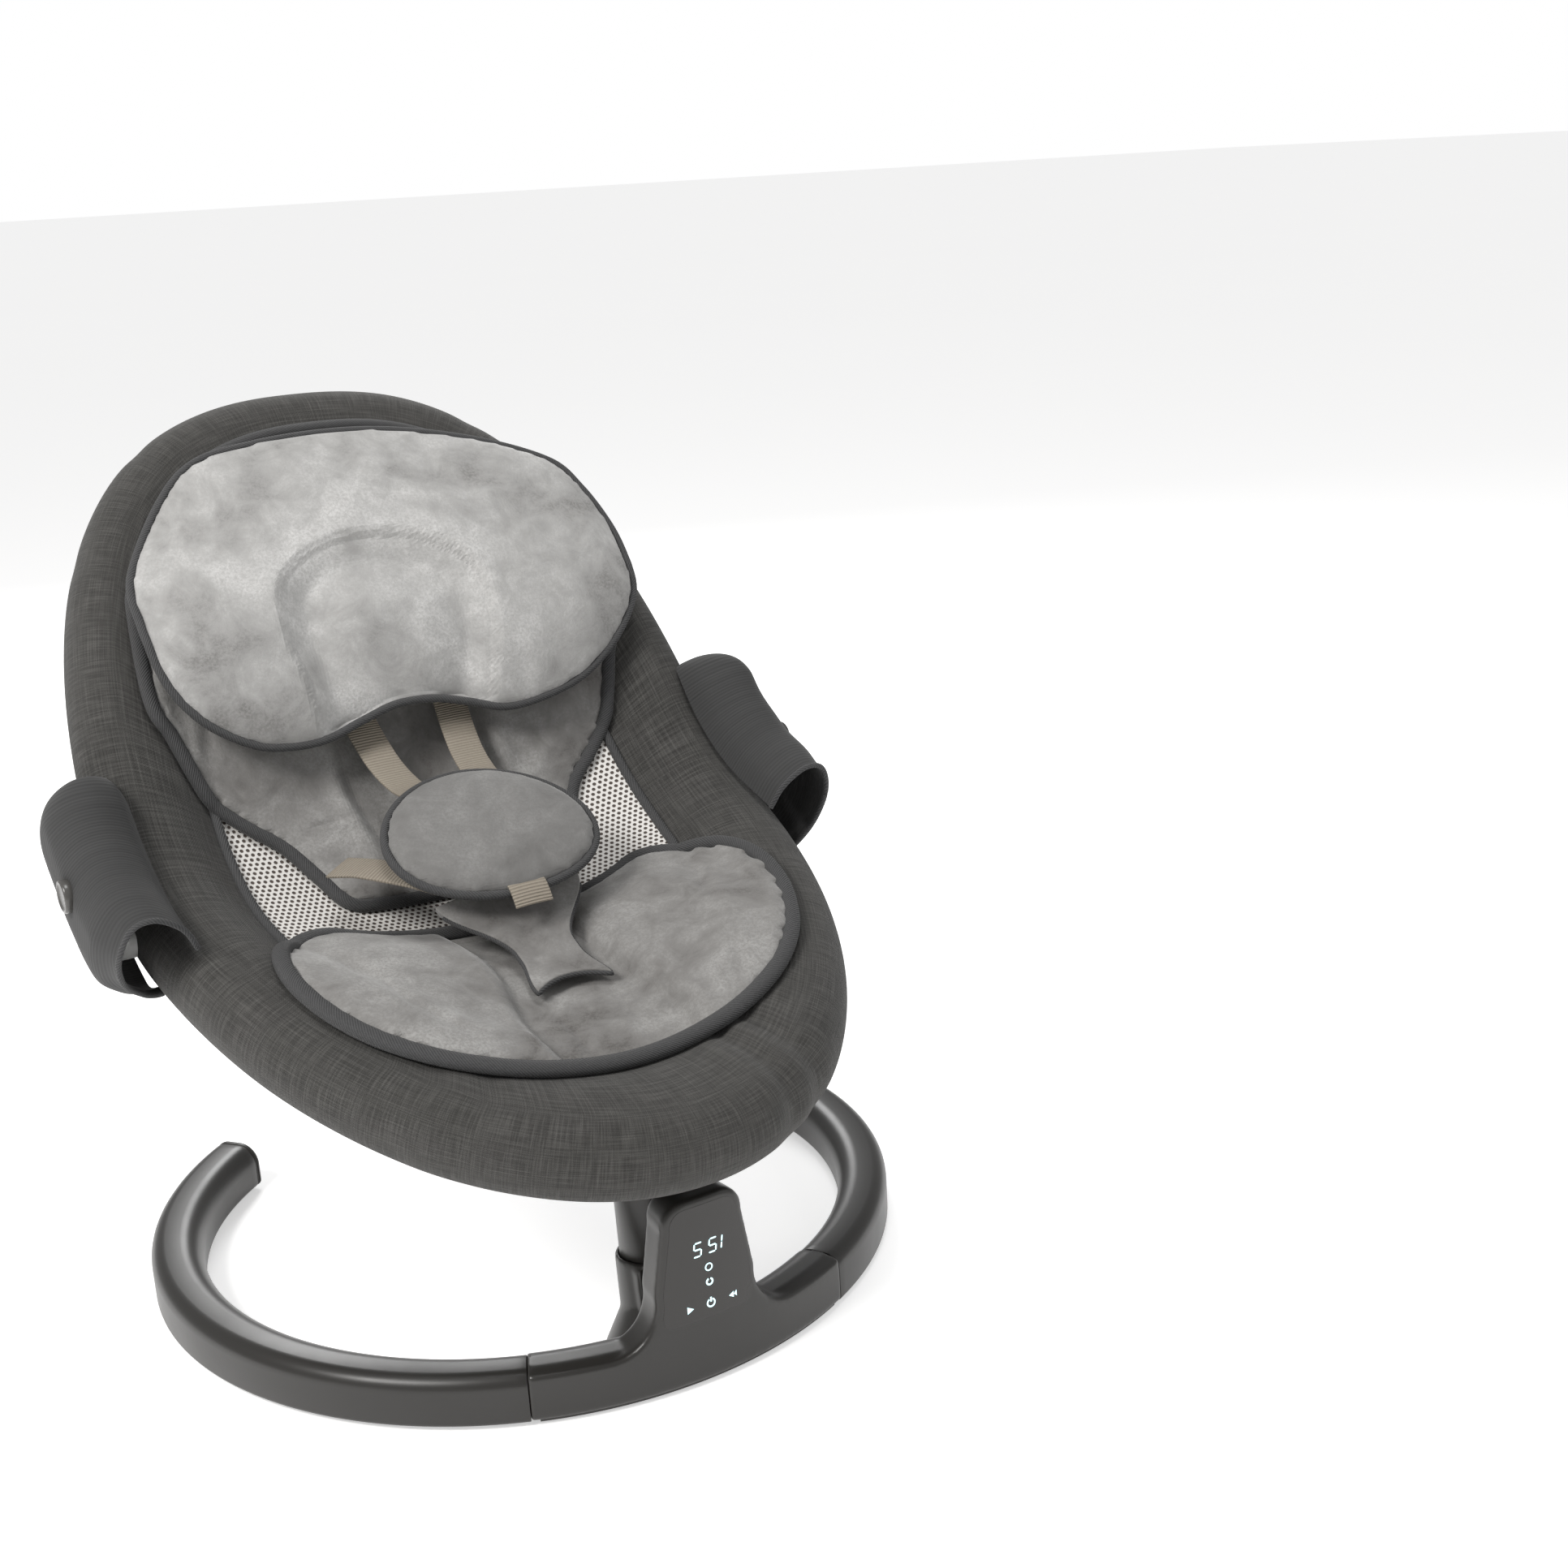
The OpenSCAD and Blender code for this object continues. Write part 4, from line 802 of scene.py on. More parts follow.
def rimPoint(s, t):
    degrees = 360 * s
    turn = math.radians(180 - 360 * t)  # from the inner edge over the top to the outside and back below
    c, n = outlineAt(degrees), outlineNormal(degrees)
    co, si = math.cos(turn), math.sin(turn)
    tall = rimShape["top"] if si > 0 else rimShape["bottom"]
    way = math.radians(degrees)
    wave = noise.noise(Vector((math.cos(way) * 3.1, math.sin(way) * 3.1, co * 0.8)))
    swell = 1 + rimCloth["ripple"] * wave
    dip = 0.0
    for spot, depth in rimCloth["pleats"]:
        away = (degrees - spot + 180) % 360 - 180 + 1.6 * co
        dip += depth * math.exp(-(away / rimCloth["pleatWidth"]) ** 2) * clamped(si + 0.75, 0, 1)
    if co >= 0:
        out = rimShape["out"] * swell * abs(co) ** 0.92
        rise = tall * math.copysign(abs(si) ** 0.92, si) * swell - dip * max(si, 0)
        return onSheet(c.x + (out - dip * co) * n.x, c.y + (out - dip * co) * n.y, rise)
    spot = insideOutline(degrees, 1 + rimShape["share"] * co)
    rise = tall * math.copysign(1, si) * math.cos(math.pi / 2 * co) * swell - dip * max(si, 0)
    return onSheet(spot.x, spot.y, rise)


bm = laidGrid(rimCloth["around"], rimCloth["section"], rimPoint,
              (rimCloth["clothLength"], rimCloth["clothGirth"]))
rimSleeve = newPiece("rimSleeve", bm, "melangeLinen")
roundOff(rimSleeve)
settle(rimSleeve)
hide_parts("front_rim_cover", "back_rim_cover")
bendStart = onSheet(0, -52, 10)
bendEnd = onSheet(0, 34, 10)
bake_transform(rimSleeve)
print("rim sleeve made")

# Mesh liner and underside cloth: each one sheet across the bend

sheetCloth = {"around": 120, "rings": 40, "share": 0.76, "underShare": 0.80, "linerRise": 0.6, "ripple": 1.6}


def linerPoint(s, t):
    spot = insideOutline(360 * s, sheetCloth["share"] * t)
    return onSheet(spot.x, spot.y, baseHeight(spot.x, spot.y) + sheetCloth["linerRise"])


def linerCloth(s, t):  # the cloth map, in metres from the seat's middle
    spot = insideOutline(360 * s, sheetCloth["share"] * t)
    return (spot.x / 1000, (spot.y - seatShape["widestAt"]) / 1000)


def underPoint(s, t):  # hangs below the liner by the sag, with slow ripples
    spot = insideOutline(360 * s, sheetCloth["underShare"] * t)
    inner = 1 - rimShape["share"]
    spread = min(1.0, sheetCloth["underShare"] * t / inner)
    deep = -(rimShape["hollow"] + rimShape["sag"]) * (1 - spread ** 2) - 6
    ripple = sheetCloth["ripple"] * noise.noise(Vector((spot.x, spot.y, 0)) / 60) * (1 - t)
    return onSheet(spot.x, spot.y, deep + ripple)


liner = newPiece("meshLiner", laidGrid(sheetCloth["around"], sheetCloth["rings"], linerPoint,
                                       clothAt=linerCloth), "spacerMesh")
giveWall(liner, 0.0015)
settle(liner)
under = newPiece("undersideCloth", laidGrid(sheetCloth["around"], sheetCloth["rings"], underPoint,
                                            clothAt=linerCloth), "melangeLinen")
giveWall(under, 0.0012, offset=1.0)
settle(under)
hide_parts("front_mesh_liner", "back_mesh_liner")
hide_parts("front_under_cover", "back_under_cover")
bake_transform(liner)
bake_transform(under)
print("liner and underside made")


# Cushions: a closed shell swelled from its seam, then inflated as cloth with the seam held
def evenLine(line, count):  # points the same distance apart along a closed line
    steps = 720
    fine = [line(i / steps) for i in range(steps + 1)]
    run = [0.0]
    for i in range(1, steps + 1):
        run.append(run[-1] + (fine[i] - fine[i - 1]).length)
    spots, k = [], 0
    for i in range(count):
        wanted = run[-1] * i / count
        while run[k + 1] < wanted:
            k += 1
        share = (wanted - run[k]) / max(run[k + 1] - run[k], 1e-9)
        spots.append(fine[k].lerp(fine[k + 1], share))
    return spots


def alongSeam(seam, s):
    spot = (s % 1.0) * len(seam)
    i = int(spot)
    return seam[i % len(seam)].lerp(seam[(i + 1) % len(seam)], spot - i)


# A look has a centre, the swell above (crown) and below (under), and its seam's height at (x, u);
# place(x, u, h) takes millimetres to metres
def swelledShell(name, seam, look, place):
    centre = Vector(look["centre"])

    def at(s, t):
        lean = math.pi * (t - 0.5)
        reach = math.cos(lean)
        edge = alongSeam(seam, s)
        spot = centre.lerp(edge, reach)
        swell = math.sqrt(max(0.0, 1 - reach ** look["power"]))
        rise = look["crown"] if lean > 0 else -look["under"]
        return place(spot.x, spot.y, look["seamHeight"](spot.x, spot.y) + rise * swell)
    shell = laidGrid(look["around"], look["rings"], at)
    return newPiece(name, shell, look.get("cloth", "crushedPile"))


def seamTree(seam, look, place):
    count = 400
    tree = kdtree.KDTree(count)
    for i in range(count):
        edge = alongSeam(seam, i / count)
        tree.insert(place(edge.x, edge.y, look["seamHeight"](edge.x, edge.y)), i)
    tree.balance()
    return tree


inflation = {"voxel": 0.005, "pressure": 4.0, "frames": 20, "held": 0.0075, "fade": 0.026, "quality": 5,
             "mass": 0.2, "tension": 12, "compression": 8, "bending": 0.3}


def inflate(piece, seams, cap):  # no point moves further than the cap, and the seam stays
    even = piece.modifiers.new("even", "REMESH")
    even.mode = "VOXEL"
    even.voxel_size = inflation["voxel"]
    settle(piece)
    before = [(vert.co.copy(), seams.find(vert.co)[2]) for vert in piece.data.vertices]
    held = piece.vertex_groups.new(name="seam")
    for vert, (start, away) in zip(piece.data.vertices, before):
        if away < inflation["held"]:
            held.add([vert.index], 1.0 - 0.5 * away / inflation["held"], "REPLACE")
    cloth = piece.modifiers.new("inflate", "CLOTH")
    cloth.settings.quality = inflation["quality"]
    cloth.settings.mass = inflation["mass"]
    cloth.settings.use_pressure = True
    cloth.settings.uniform_pressure_force = inflation["pressure"]
    cloth.settings.effector_weights.gravity = 0
    cloth.settings.tension_stiffness = inflation["tension"]
    cloth.settings.compression_stiffness = inflation["compression"]
    cloth.settings.bending_stiffness = inflation["bending"]
    cloth.settings.vertex_group_mass = "seam"
    cloth.point_cache.frame_start = 1
    cloth.point_cache.frame_end = inflation["frames"]
    for moment in range(1, inflation["frames"] + 1):
        bpy.context.scene.frame_set(moment)
    settle(piece)
    bpy.context.scene.frame_set(1)
    for vert, (start, away) in zip(piece.data.vertices, before):
        moved = vert.co - start
        freedom = cap * smoothStep(away / inflation["fade"])
        if moved.length > freedom:
            vert.co = start + moved * (freedom / moved.length)


# Presses shape(x, u, h) into the upper side of a piece, and keeps all of it above lowest(x, u)
def sculpt(piece, shape, lowest, fromPlace, place):
    roundOff(piece)
    settle(piece)
    for vert in piece.data.vertices:
        x, u, h = fromPlace(vert.co)
        vert.co = place(x, u, max(h + shape(x, u, h), lowest(x, u)))


def pileSwell(x, u, size, height):
    return height * noise.noise(Vector((x, u, 40.0)) / size)


def padSeamHeight(x, u):  # the seams of both pads lie this high on the liner
    return baseHeight(x, u) + 6


def padFloor(x, u):  # and nothing of them goes lower than this
    return baseHeight(x, u) + 1.2


# Seat pad: two thigh lobes either side of a sunk middle
seatPadLook = {"centre": (0, -185), "crown": 12, "under": 4.5, "power": 4, "around": 150, "rings": 44,
               "cap": 0.006, "seamHeight": padSeamHeight}
seatPadRight = pinned([(0, -92), (50, -90), (84, -84), (100, -79), (118, -73), (136, -78), (152, -92),
                       (165, -113), (172, -140), (171, -168), (162, -200), (144, -232), (115, -260),
                       (78, -279), (38, -288), (0, -291)])
seatPadSeam = evenLine(lineThrough(mirroredLine(seatPadRight), closed=True), 300)


def seatPadShape(x, u, h):
    above = h - padSeamHeight(x, u)
    if above < 0:
        return 0.0
    share = clamped(above / 6, 0, 1)
    edge = 40 + 10 * smoothStep((-u - 120) / 150) + 3 * math.sin(u / 21)
    middle = 1 - smoothStep((abs(x) - edge + 12) / 22)
    crease = math.exp(-((abs(x) - edge + 4) / 3.6) ** 2) * (2.4 + 1.4 * noise.noise(Vector((x, u, 3)) / 25))
    lobe = 8.0 * math.exp(-(((abs(x) - 104) / 44) ** 2 + ((u + 172) / 72) ** 2))
    return share * (lobe - 11.0 * middle - crease + pileSwell(x, u, 34, 1.6) + pileSwell(x, u, 13, 0.6))


seatPad = swelledShell("seatPad", seatPadSeam, seatPadLook, onSheet)
inflate(seatPad, seamTree(seatPadSeam, seatPadLook, onSheet), seatPadLook["cap"])
sculpt(seatPad, seatPadShape, padFloor, fromSheet, onSheet)
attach(seatPad, "seat")
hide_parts("seat_pad")
print("seat pad made")


# Back cushion: narrow at the waist, then as wide as the frame; it lies across the hinge
backPadLook = {"centre": (0, 150), "crown": 13, "under": 4.5, "power": 4, "around": 170, "rings": 48,
               "cap": 0.005, "reach": 0.955, "seamHeight": padSeamHeight}
backPadRight = pinned([(0, -44), (34, -44), (60, -44), (86, -40), (98, -12), (112, 16), (134, 37), (152, 57),
                       (160, 76), (169, 105), (177, 131)])
for degrees in range(34, 90, 4):  # above its waist it follows the seat's outline
    spot = insideOutline(degrees, backPadLook["reach"])
    if spot.y > 150:
        backPadRight.append(spot)
backPadHigh = seatShape["widestAt"] + seatShape["backLength"] * backPadLook["reach"]
backPadRight.append(Vector((0, backPadHigh)))
backPadSeam = evenLine(lineThrough(mirroredLine(backPadRight), closed=True), 360)


def backPadShape(x, u, h):
    above = h - padSeamHeight(x, u)
    if above < 0:
        return 0.0
    share = clamped(above / 6, 0, 1)
    low = 1 - smoothStep((u - 95) / 40)
    edge = 46 + 8 * math.sin(u / 40)
    middle = 1 - smoothStep((abs(x) - edge + 10) / 22)
    crease = 1.8 * math.exp(-((abs(x) - edge) / 5) ** 2)
    fold = 3.0 * math.exp(-((abs(x) - 66 - 0.12 * (u - 60)) / 8) ** 2)
    return share * (low * (fold - 5 * middle - crease) + pileSwell(x, u, 30, 1.3) + pileSwell(x, u, 12, 0.5))


backPad = swelledShell("backCushion", backPadSeam, backPadLook, onSheet)
inflate(backPad, seamTree(backPadSeam, backPadLook, onSheet), backPadLook["cap"])
sculpt(backPad, backPadShape, padFloor, fromSheet, onSheet)
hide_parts("back_cushion")
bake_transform(backPad)
print("back cushion made")


# Head pillow: a puffed ring round a sunk place for the head
def pillowSeamHeight(x, u):  # the same all the way across
    return 36 + 22 * clamped((u - 80) / 80, 0, 1)


pillowLook = {"centre": (8, 186), "crown": 19, "under": 15, "power": 3, "around": 170, "rings": 52,
              "cap": 0.006, "seamHeight": pillowSeamHeight, "cloth": "palePile"}
pillowSeam = evenLine(lineThrough(pinned([
    (-168, 217), (-115, 285), (-56, 302), (27, 303), (103, 286), (163, 258), (182, 230), (193, 194),
    (195, 163), (193, 138), (171, 110), (137, 87), (99, 76), (68, 74), (41, 83), (15, 90), (-13, 91),
    (-42, 84), (-70, 76), (-97, 76), (-122, 83), (-151, 104), (-169, 134), (-175, 175)]), closed=True), 360)
headCurve = lineThrough(pinned([(-72, 70), (-77, 110), (-84, 150), (-76, 184), (-43, 206), (-1, 210),
                                (34, 202), (64, 178), (72, 148), (67, 112), (54, 70)]))
headPlace = [headCurve(i / 160) for i in range(161)]
headLine = kdtree.KDTree(len(headPlace))
for i, spot in enumerate(headPlace):
    headLine.insert((spot.x, spot.y, 0), i)
headLine.balance()


def inHeadPlace(x, u):
    inside = False
    for a, b in zip(headPlace, headPlace[1:] + headPlace[:1]):
        if (a.y > u) != (b.y > u) and x < a.x + (u - a.y) * (b.x - a.x) / (b.y - a.y):
            inside = not inside
    return inside


def pillowShape(x, u, h):
    above = h - pillowSeamHeight(x, u)
    if above < 0:
        return 0.0
    share = clamped(above / 7, 0, 1)
    away = headLine.find((x, u, 0))[2]
    crease = 2.6 * math.exp(-(away / 2.6) ** 2)
    sunk = 0.0
    if inHeadPlace(x, u):  # falls steeply at the sewn line, then levels out
        sunk = 6.0 * smoothStep(away / 4) + 10.0 * smoothStep(away / 22) - 10.0 * smoothStep((away - 14) / 44)
    return share * (-crease - sunk + pileSwell(x, u, 38, 2.2) + pileSwell(x, u, 15, 0.7))


def pillowFloor(x, u):  # a little above the back cushion
    return min(baseHeight(x, u) + 21, pillowSeamHeight(x, u) - 1)


pillow = swelledShell("headPillow", pillowSeam, pillowLook, onSheet)
inflate(pillow, seamTree(pillowSeam, pillowLook, onSheet), pillowLook["cap"])
sculpt(pillow, pillowShape, pillowFloor, fromSheet, onSheet)
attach(pillow, "backrest")
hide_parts("head_pillow")
print("pillow made")


# Belly pad on its own slope above the seat
bellyShape = {"u": -71, "h": 46, "slope": math.radians(27), "halfWidth": 74, "halfLength": 61}
bellyMiddle = onSheet(0, bellyShape["u"], bellyShape["h"])


def onBelly(x, v, h):
    c, s = math.cos(bellyShape["slope"]), math.sin(bellyShape["slope"])
    return bellyMiddle + Vector((x, v * c - h * s, v * s + h * c)) / 1000


def fromBelly(point):
    c, s = math.cos(bellyShape["slope"]), math.sin(bellyShape["slope"])
    away = (point - bellyMiddle) * 1000
    return away.x, away.y * c + away.z * s, away.z * c - away.y * s


def bellyOutline(t):
    turn = 2 * math.pi * t
    return Vector((bellyShape["halfWidth"] * math.cos(turn),
                   bellyShape["halfLength"] * math.sin(turn) - 3 * math.cos(2 * turn)))


def bellyPadShape(x, v, h):
    return (pileSwell(x, v, 26, 1.2) + pileSwell(x, v, 11, 0.5)) * clamped((h - 4) / 6, 0, 1)


bellyLook = {"centre": (0, 0), "crown": 15, "under": 5, "power": 3, "around": 110, "rings": 36,
             "cap": 0.004, "seamHeight": lambda x, v: 3.0, "cloth": "deepPile"}
bellySeam = evenLine(bellyOutline, 240)
belly = swelledShell("bellyPad", bellySeam, bellyLook, onBelly)
inflate(belly, seamTree(bellySeam, bellyLook, onBelly), bellyLook["cap"])
sculpt(belly, bellyPadShape, lambda x, v: -3.0, fromBelly, onBelly)
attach(belly, "seat")
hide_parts("belly_pad")


# Crotch pad: thin, wide under the belly pad and drawn in to two points
crotchShape = {"high": -100, "low": -190, "tip": 11, "thick": 5.0}
crotchRun = crotchShape["low"] - crotchShape["high"]


def crotchHalf(t):  # its half width, from 0 at the top to 1 at the tips
    return 21 + 32 * (1 - smoothStep(t / 0.62)) + 6 * smoothStep((t - 0.7) / 0.3)


def crotchHeight(x, u):
    t = clamped((u - crotchShape["high"]) / crotchRun, 0, 1.2)
    return baseHeight(x, u) + 21 + 22 * max(0, 1 - t) ** 1.6 - 2.5 * (x / 30) ** 2 * (1 - 0.6 * t)


def crotchSpot(s, t):
    side = 2 * s - 1
    u = crotchShape["high"] + crotchRun * t - crotchShape["tip"] * t ** 3 * side * side
    return Vector((crotchHalf(t) * side, u))


def crotchPoint(s, t):
    spot = crotchSpot(s, t)
    fluff = 1.2 * noise.noise(Vector((spot.x, spot.y, 9)) / 16)
    return onSheet(spot.x, spot.y, crotchHeight(spot.x, spot.y) + fluff * (1 - abs(2 * s - 1) ** 4))


crotch = newPiece("crotchPad", laidGrid(36, 48, crotchPoint, (0.09, 0.10)), "crushedPile")
giveWall(crotch, crotchShape["thick"] / 1000, offset=0, edge=0.0018, segments=3)
settle(crotch)
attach(crotch, "seat")
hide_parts("crotch_pad")
print("belly and crotch pads made")


def carry(piece, body):  # a piece with no body of its own lies across the hinge and is baked where it lies
    if body:
        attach(piece, body)
    else:
        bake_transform(piece)


# Piping and bindings sewn along the seams
def seamTube(name, seam, height, place, radius, body, steps=300, flatten=1.0):
    def line(t):
        edge = alongSeam(seam, t)
        return place(edge.x, edge.y, height(edge.x, edge.y))
    tube = tubeAlong(line, steps, radius, sides=12, flatten=flatten)
    carry(newPiece(name, tube, "pipingCloth"), body)


seamTube("pillowPiping", pillowSeam, pillowSeamHeight, onSheet, 0.0030, "backrest")
seamTube("bellyPiping", bellySeam, bellyLook["seamHeight"], onBelly, 0.0030, "seat", steps=220)
seamTube("seatPadBinding", seatPadSeam, padSeamHeight, onSheet, 0.0060, "seat", flatten=0.8)
seamTube("backCushionBinding", backPadSeam, padSeamHeight, onSheet, 0.0052, None, steps=360, flatten=0.8)
rimLine = [insideOutline(degrees, rimShape["bindingShare"]) for degrees in range(0, 360, 2)]
seamTube("rimBinding", rimLine, lambda x, u: 3.4, onSheet, 0.0034, None, steps=360)


def crotchEdge(t):  # down one side, round the tips and up the other
    if t < 0.42:
        spot = crotchSpot(0, 0.1 + 0.9 * t / 0.42)
    elif t > 0.58:
        spot = crotchSpot(1, 1 - 0.9 * (t - 0.58) / 0.42)
    else:
        spot = crotchSpot((t - 0.42) / 0.16, 1)
    return onSheet(spot.x, spot.y, crotchHeight(spot.x, spot.y))


crotchPiping = newPiece("crotchPiping", tubeAlong(crotchEdge, 160, 0.0017, closed=False),
                        "pipingCloth")
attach(crotchPiping, "seat")
print("piping made")


# Straps: flat webbing laid along stations (x, u, h)
strapCloth = {"thick": 0.0018, "edge": 0.0004, "steps": 48, "droop": 0.6}


def webbingStrap(name, stations, width, node, body, across=None):
    line = lineThrough(pinned(stations))
    steps = strapCloth["steps"]

    def at(s, t):
        here = line(t)
        run = line(min(1.0, t + 0.01)) - line(max(0.0, t - 0.01))
        flat = Vector((run.y, -run.x, 0)).normalized() if across is None else Vector(across).normalized()
        if across is None and flat.x < 0:
            flat = -flat
        spot = here + flat * width * (s - 0.5)
        return onSheet(spot.x, spot.y, spot.z - strapCloth["droop"] * (2 * s - 1) ** 2)
    length = sum((onSheet(*line((i + 1) / steps)) - onSheet(*line(i / steps))).length for i in range(steps))
    piece = newPiece(name, laidGrid(8, steps, at, (width / 1000, length)), "webbing")
    giveWall(piece, strapCloth["thick"], offset=0, edge=strapCloth["edge"])
    settle(piece)
    carry(piece, body)
    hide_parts(node)


for side, word in ((-1, "left"), (1, "right")):
    webbingStrap(word + "ShoulderStrap", [(side * 37, 132, 20), (side * 36, 100, 16.5), (side * 34, 78, 18),
                                          (side * 31, 50, 25), (side * 28, 20, 37), (side * 26, 2, 46),
                                          (side * 25, -14, 49)],
                 25, word + "_shoulder_strap", None, across=(1, 0, 0))
waistStations = {"left": [(-96, -34, 24), (-85, -50, 31), (-72, -69, 36), (-59, -86, 39), (-47, -98, 38)],
                 "right": [(78, -34, 12), (68, -44, 20), (56, -56, 28), (44, -66, 33), (32, -74, 36)]}
for word, stations in waistStations.items():
    webbingStrap(word + "WaistStrap", stations, 26, word + "_waist_strap", "seat")
webbingStrap("crotchLoop", [(0, -119, 40), (0, -126, 44.5), (0, -134, 41), (0, -140, 36)], 27,
             "crotch_strap", "seat", across=(1, 0, 0))
print("straps made")

# Side pockets: ribbed cloth round the hub, open at the low end
pocketShape = {"section": [(213, 34), (222, 51), (240, 63), (258, 60), (269.5, 38), (269, 8), (262, -14),
                           (249, -27), (238, -31), (229, -31)],
               "middle": (226, 12), "low": -98, "high": 86, "corner": 40, "wall": 2.0, "hem": 0.0019,
               "drawnIn": 0.42, "mouth": (26, 6), "outermost": 269.8}


def pocketPiece(side, word):
    section = lineThrough(pinned(pocketShape["section"]))
    length = pocketShape["high"] - pocketShape["low"]
    middle = Vector(pocketShape["middle"])

    def at(s, t):
        spot = section(s)
        u = pocketShape["low"] + length * t
        toTop = pocketShape["high"] - u
        draw = 1.0
        if toTop < pocketShape["corner"]:
            draw = math.sqrt(max(0.0, 1 - ((pocketShape["corner"] - toTop) / pocketShape["corner"]) ** 2.6))
        low = 1 - smoothStep((u - pocketShape["low"]) / 46)
        draw = min(draw, 1 - pocketShape["drawnIn"] * low * low * smoothStep((s - 0.2) / 0.5))
        mouth = pocketShape["mouth"][side > 0] * smoothStep((s - 0.35) / 0.4) * (1 - smoothStep(t / 0.5))
        reach = middle + (spot - middle) * (0.12 + 0.88 * draw)
        ripple = 0.7 * noise.noise(Vector((s * 3, t * 5, side * 7))) * math.sin(math.pi * s)
        outward = (spot - middle).normalized() * ripple
        x = min(reach.x + outward.x, pocketShape["outermost"])
        return onSheet(side * x, u + mouth, reach.y + outward.y)
    piece = newPiece(word + "SidePocket", laidGrid(56, 84, at, (0.15, 0.19)), "pocketCloth")
    facesOut = sum(f.normal.x * side for f in piece.data.polygons) > 0
    giveWall(piece, pocketShape["wall"] / 1000, offset=-1 if facesOut else 1, edge=0.0007)
    roundOff(piece)
    settle(piece)
    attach(piece, "seat")
    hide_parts(word + "_side_pocket")

    hem = tubeAlong(lambda s: at(s, 0.0), 90, pocketShape["hem"], closed=False)
    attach(newPiece(word + "PocketHem", hem, "pipingCloth"), "seat")


# Disc button: a dished face inside a rounded rim, standing proud of the pocket
buttonShape = {"radius": 11, "proud": 274.2, "depth": 8}


def discButton(side, word):
    hinge = onSheet(0, seatShape["hingeU"], seatShape["hingeH"])
    r, top = buttonShape["radius"] / 1000, buttonShape["proud"] / 1000
    low = top - buttonShape["depth"] / 1000
    line = [(top - 0.0013, 0.0), (top - 0.0013, r * 0.55), (top - 0.0009, r * 0.72), (top - 0.0002, r * 0.80),
            (top, r * 0.88), (top - 0.0004, r * 0.96), (top - 0.0014, r), (low, r), (low, 0.0)]
    bm = turnedLine([(x, away, 0) for x, away in line], (1, 0, 0), 64)
    for vert in bm.verts:
        vert.co = Vector((vert.co.x * side, vert.co.y + hinge.y, vert.co.z + hinge.z))
    bmesh.ops.recalc_face_normals(bm, faces=bm.faces)
    piece = newPiece(word + "ReclineButton", bm, "buttonPlastic")
    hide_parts(word + "_recline_button")
    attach(piece, word + "_button")


for side, word in ((-1, "left"), (1, "right")):
    pocketPiece(side, word)
    discButton(side, word)
print("pockets and buttons made")

# What stays as designed gets its own finish
nodeFinish = {
    "satinCharcoal": ["bottom_cover"],
    "footRubber": ["rubber_feet"],
    "turnedSteel": ["base_screws", "drive_motor", "upper_bearing", "lower_bearing", "pivot_shaft",
                    "left_hinge_pin", "right_hinge_pin"],
    "circuitGreen": ["display_module", "control_board"],
    "blackPlastic": ["speaker", "power_inlet", "harness_buckle"],
    "gearAcetal": ["drive_pinion", "sector_gear"],
    "framePaint": ["front_frame_tube", "back_frame_tube"],
    "hubPlastic": ["left_hub_inner", "right_hub_inner", "left_hub_outer", "right_hub_outer"],
    "releaseRed": ["buckle_button"],
}
for key, nodes in nodeFinish.items():
    for node in nodes:
        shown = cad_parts[node]
        shown.data.materials.clear()
        shown.data.materials.append(finish[key])
print("finishes given")

# Camera, light and floor

viewShape = {"place": (-0.5542, -1.2746, 0.7245), "heading": -32.26, "down": 16.62, "roll": -3.23,
             "lens": 47.97}


def makeCamera():
    heading, down, roll = (math.radians(viewShape[key]) for key in ("heading", "down", "roll"))
    flat = math.cos(down)
    forward = Vector((-math.sin(heading) * flat, math.cos(heading) * flat, -math.sin(down)))
    level = Vector((math.cos(heading), math.sin(heading), 0))
    up = level.cross(forward)
    right = math.cos(roll) * level + math.sin(roll) * up
    top = math.cos(roll) * up - math.sin(roll) * level
    data = bpy.data.cameras.new("camera")
    data.sensor_width = 36
    data.lens = viewShape["lens"]
    data.clip_start = 0.05
    camera = bpy.data.objects.new("camera", data)
    turn = Matrix((right, top, -forward)).transposed().to_4x4()
    camera.matrix_world = Matrix.Translation(viewShape["place"]) @ turn
    bpy.context.scene.collection.objects.link(camera)
    bpy.context.scene.camera = camera


makeCamera()

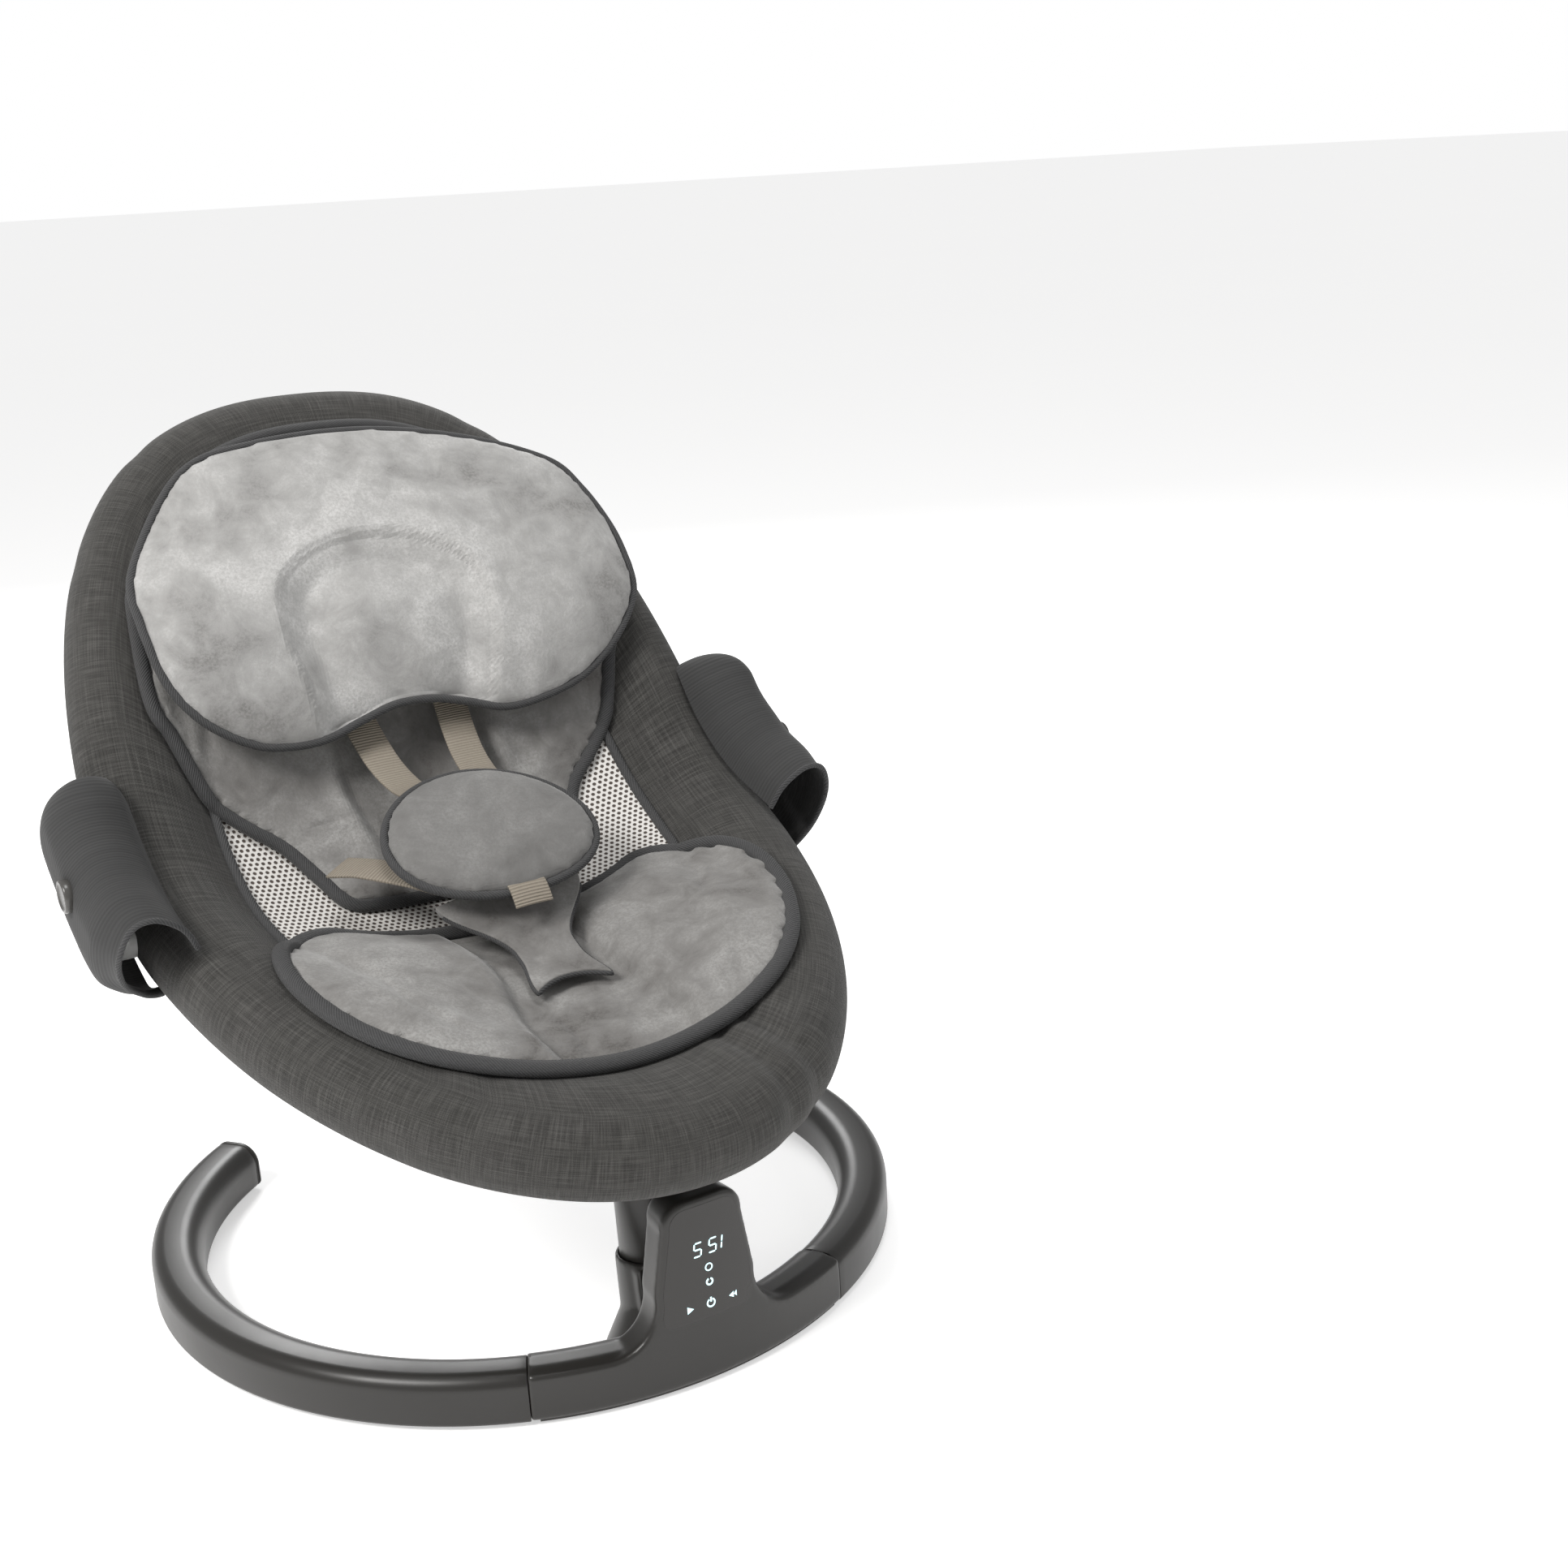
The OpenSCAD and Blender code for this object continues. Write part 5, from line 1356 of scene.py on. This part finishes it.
# Each light's place, size, power and colour
lightShape = [("keyLight", (-1.7, -0.5, 1.9), 0.8, 38, (1.0, 0.985, 0.965)),
              ("fillLight", (1.7, -1.6, 1.3), 1.6, 3, (0.97, 0.985, 1.0)),
              ("rimLight", (0.7, 1.9, 1.5), 1.0, 22, (1.0, 1.0, 1.0)),
              ("topLight", (0.1, -0.2, 2.5), 0.9, 16, (1.0, 1.0, 1.0))]
for name, place, size, power, colour in lightShape:
    data = bpy.data.lights.new(name, "AREA")
    data.shape = "DISK"
    data.size = size
    data.energy = power
    data.color = colour
    lamp = bpy.data.objects.new(name, data)
    aim = Vector((0, 0, 0.25)) - Vector(place)
    lamp.rotation_euler = aim.to_track_quat("-Z", "Y").to_euler()
    lamp.location = place
    bpy.context.scene.collection.objects.link(lamp)

# The sky is white to look at and dimmer as a light
world = bpy.data.worlds.new("studio")
world.use_nodes = True
skyTree = world.node_tree
seen = shaderNode(skyTree, "LightPath").outputs["Is Camera Ray"]
skyTree.links.new(spanned(skyTree, seen, 0.0, 1.0, 0.42, 1.0), skyTree.nodes["Background"].inputs["Strength"])
skyTree.nodes["Background"].inputs["Color"].default_value = (1.0, 1.0, 1.0, 1)
bpy.context.scene.world = world
bpy.context.scene.view_settings.view_transform = "Standard"

bm = bmesh.new()
bmesh.ops.create_grid(bm, x_segments=8, y_segments=8, size=90)
mesh = bpy.data.meshes.new("studioFloor")
bm.to_mesh(mesh)
bm.free()
floor = bpy.data.objects.new("studioFloor", mesh)
bpy.context.scene.collection.objects.link(floor)
paleFloor, floorTree, floorShader = newMaterial("paleFloor", {"Roughness": 0.8, "Specular IOR Level": 0.1,
                                                              "Emission Color": (1, 1, 1, 1),
                                                              "Emission Strength": 0.5})
floorCloud = noiseAt(floorTree, objectSpot(floorTree), 0.6)
floorTree.links.new(blended(floorTree, floorCloud, (0.93, 0.928, 0.925, 1), (0.915, 0.912, 0.91, 1)),
                    floorShader.inputs["Base Color"])
mesh.materials.append(paleFloor)
print("studio made")
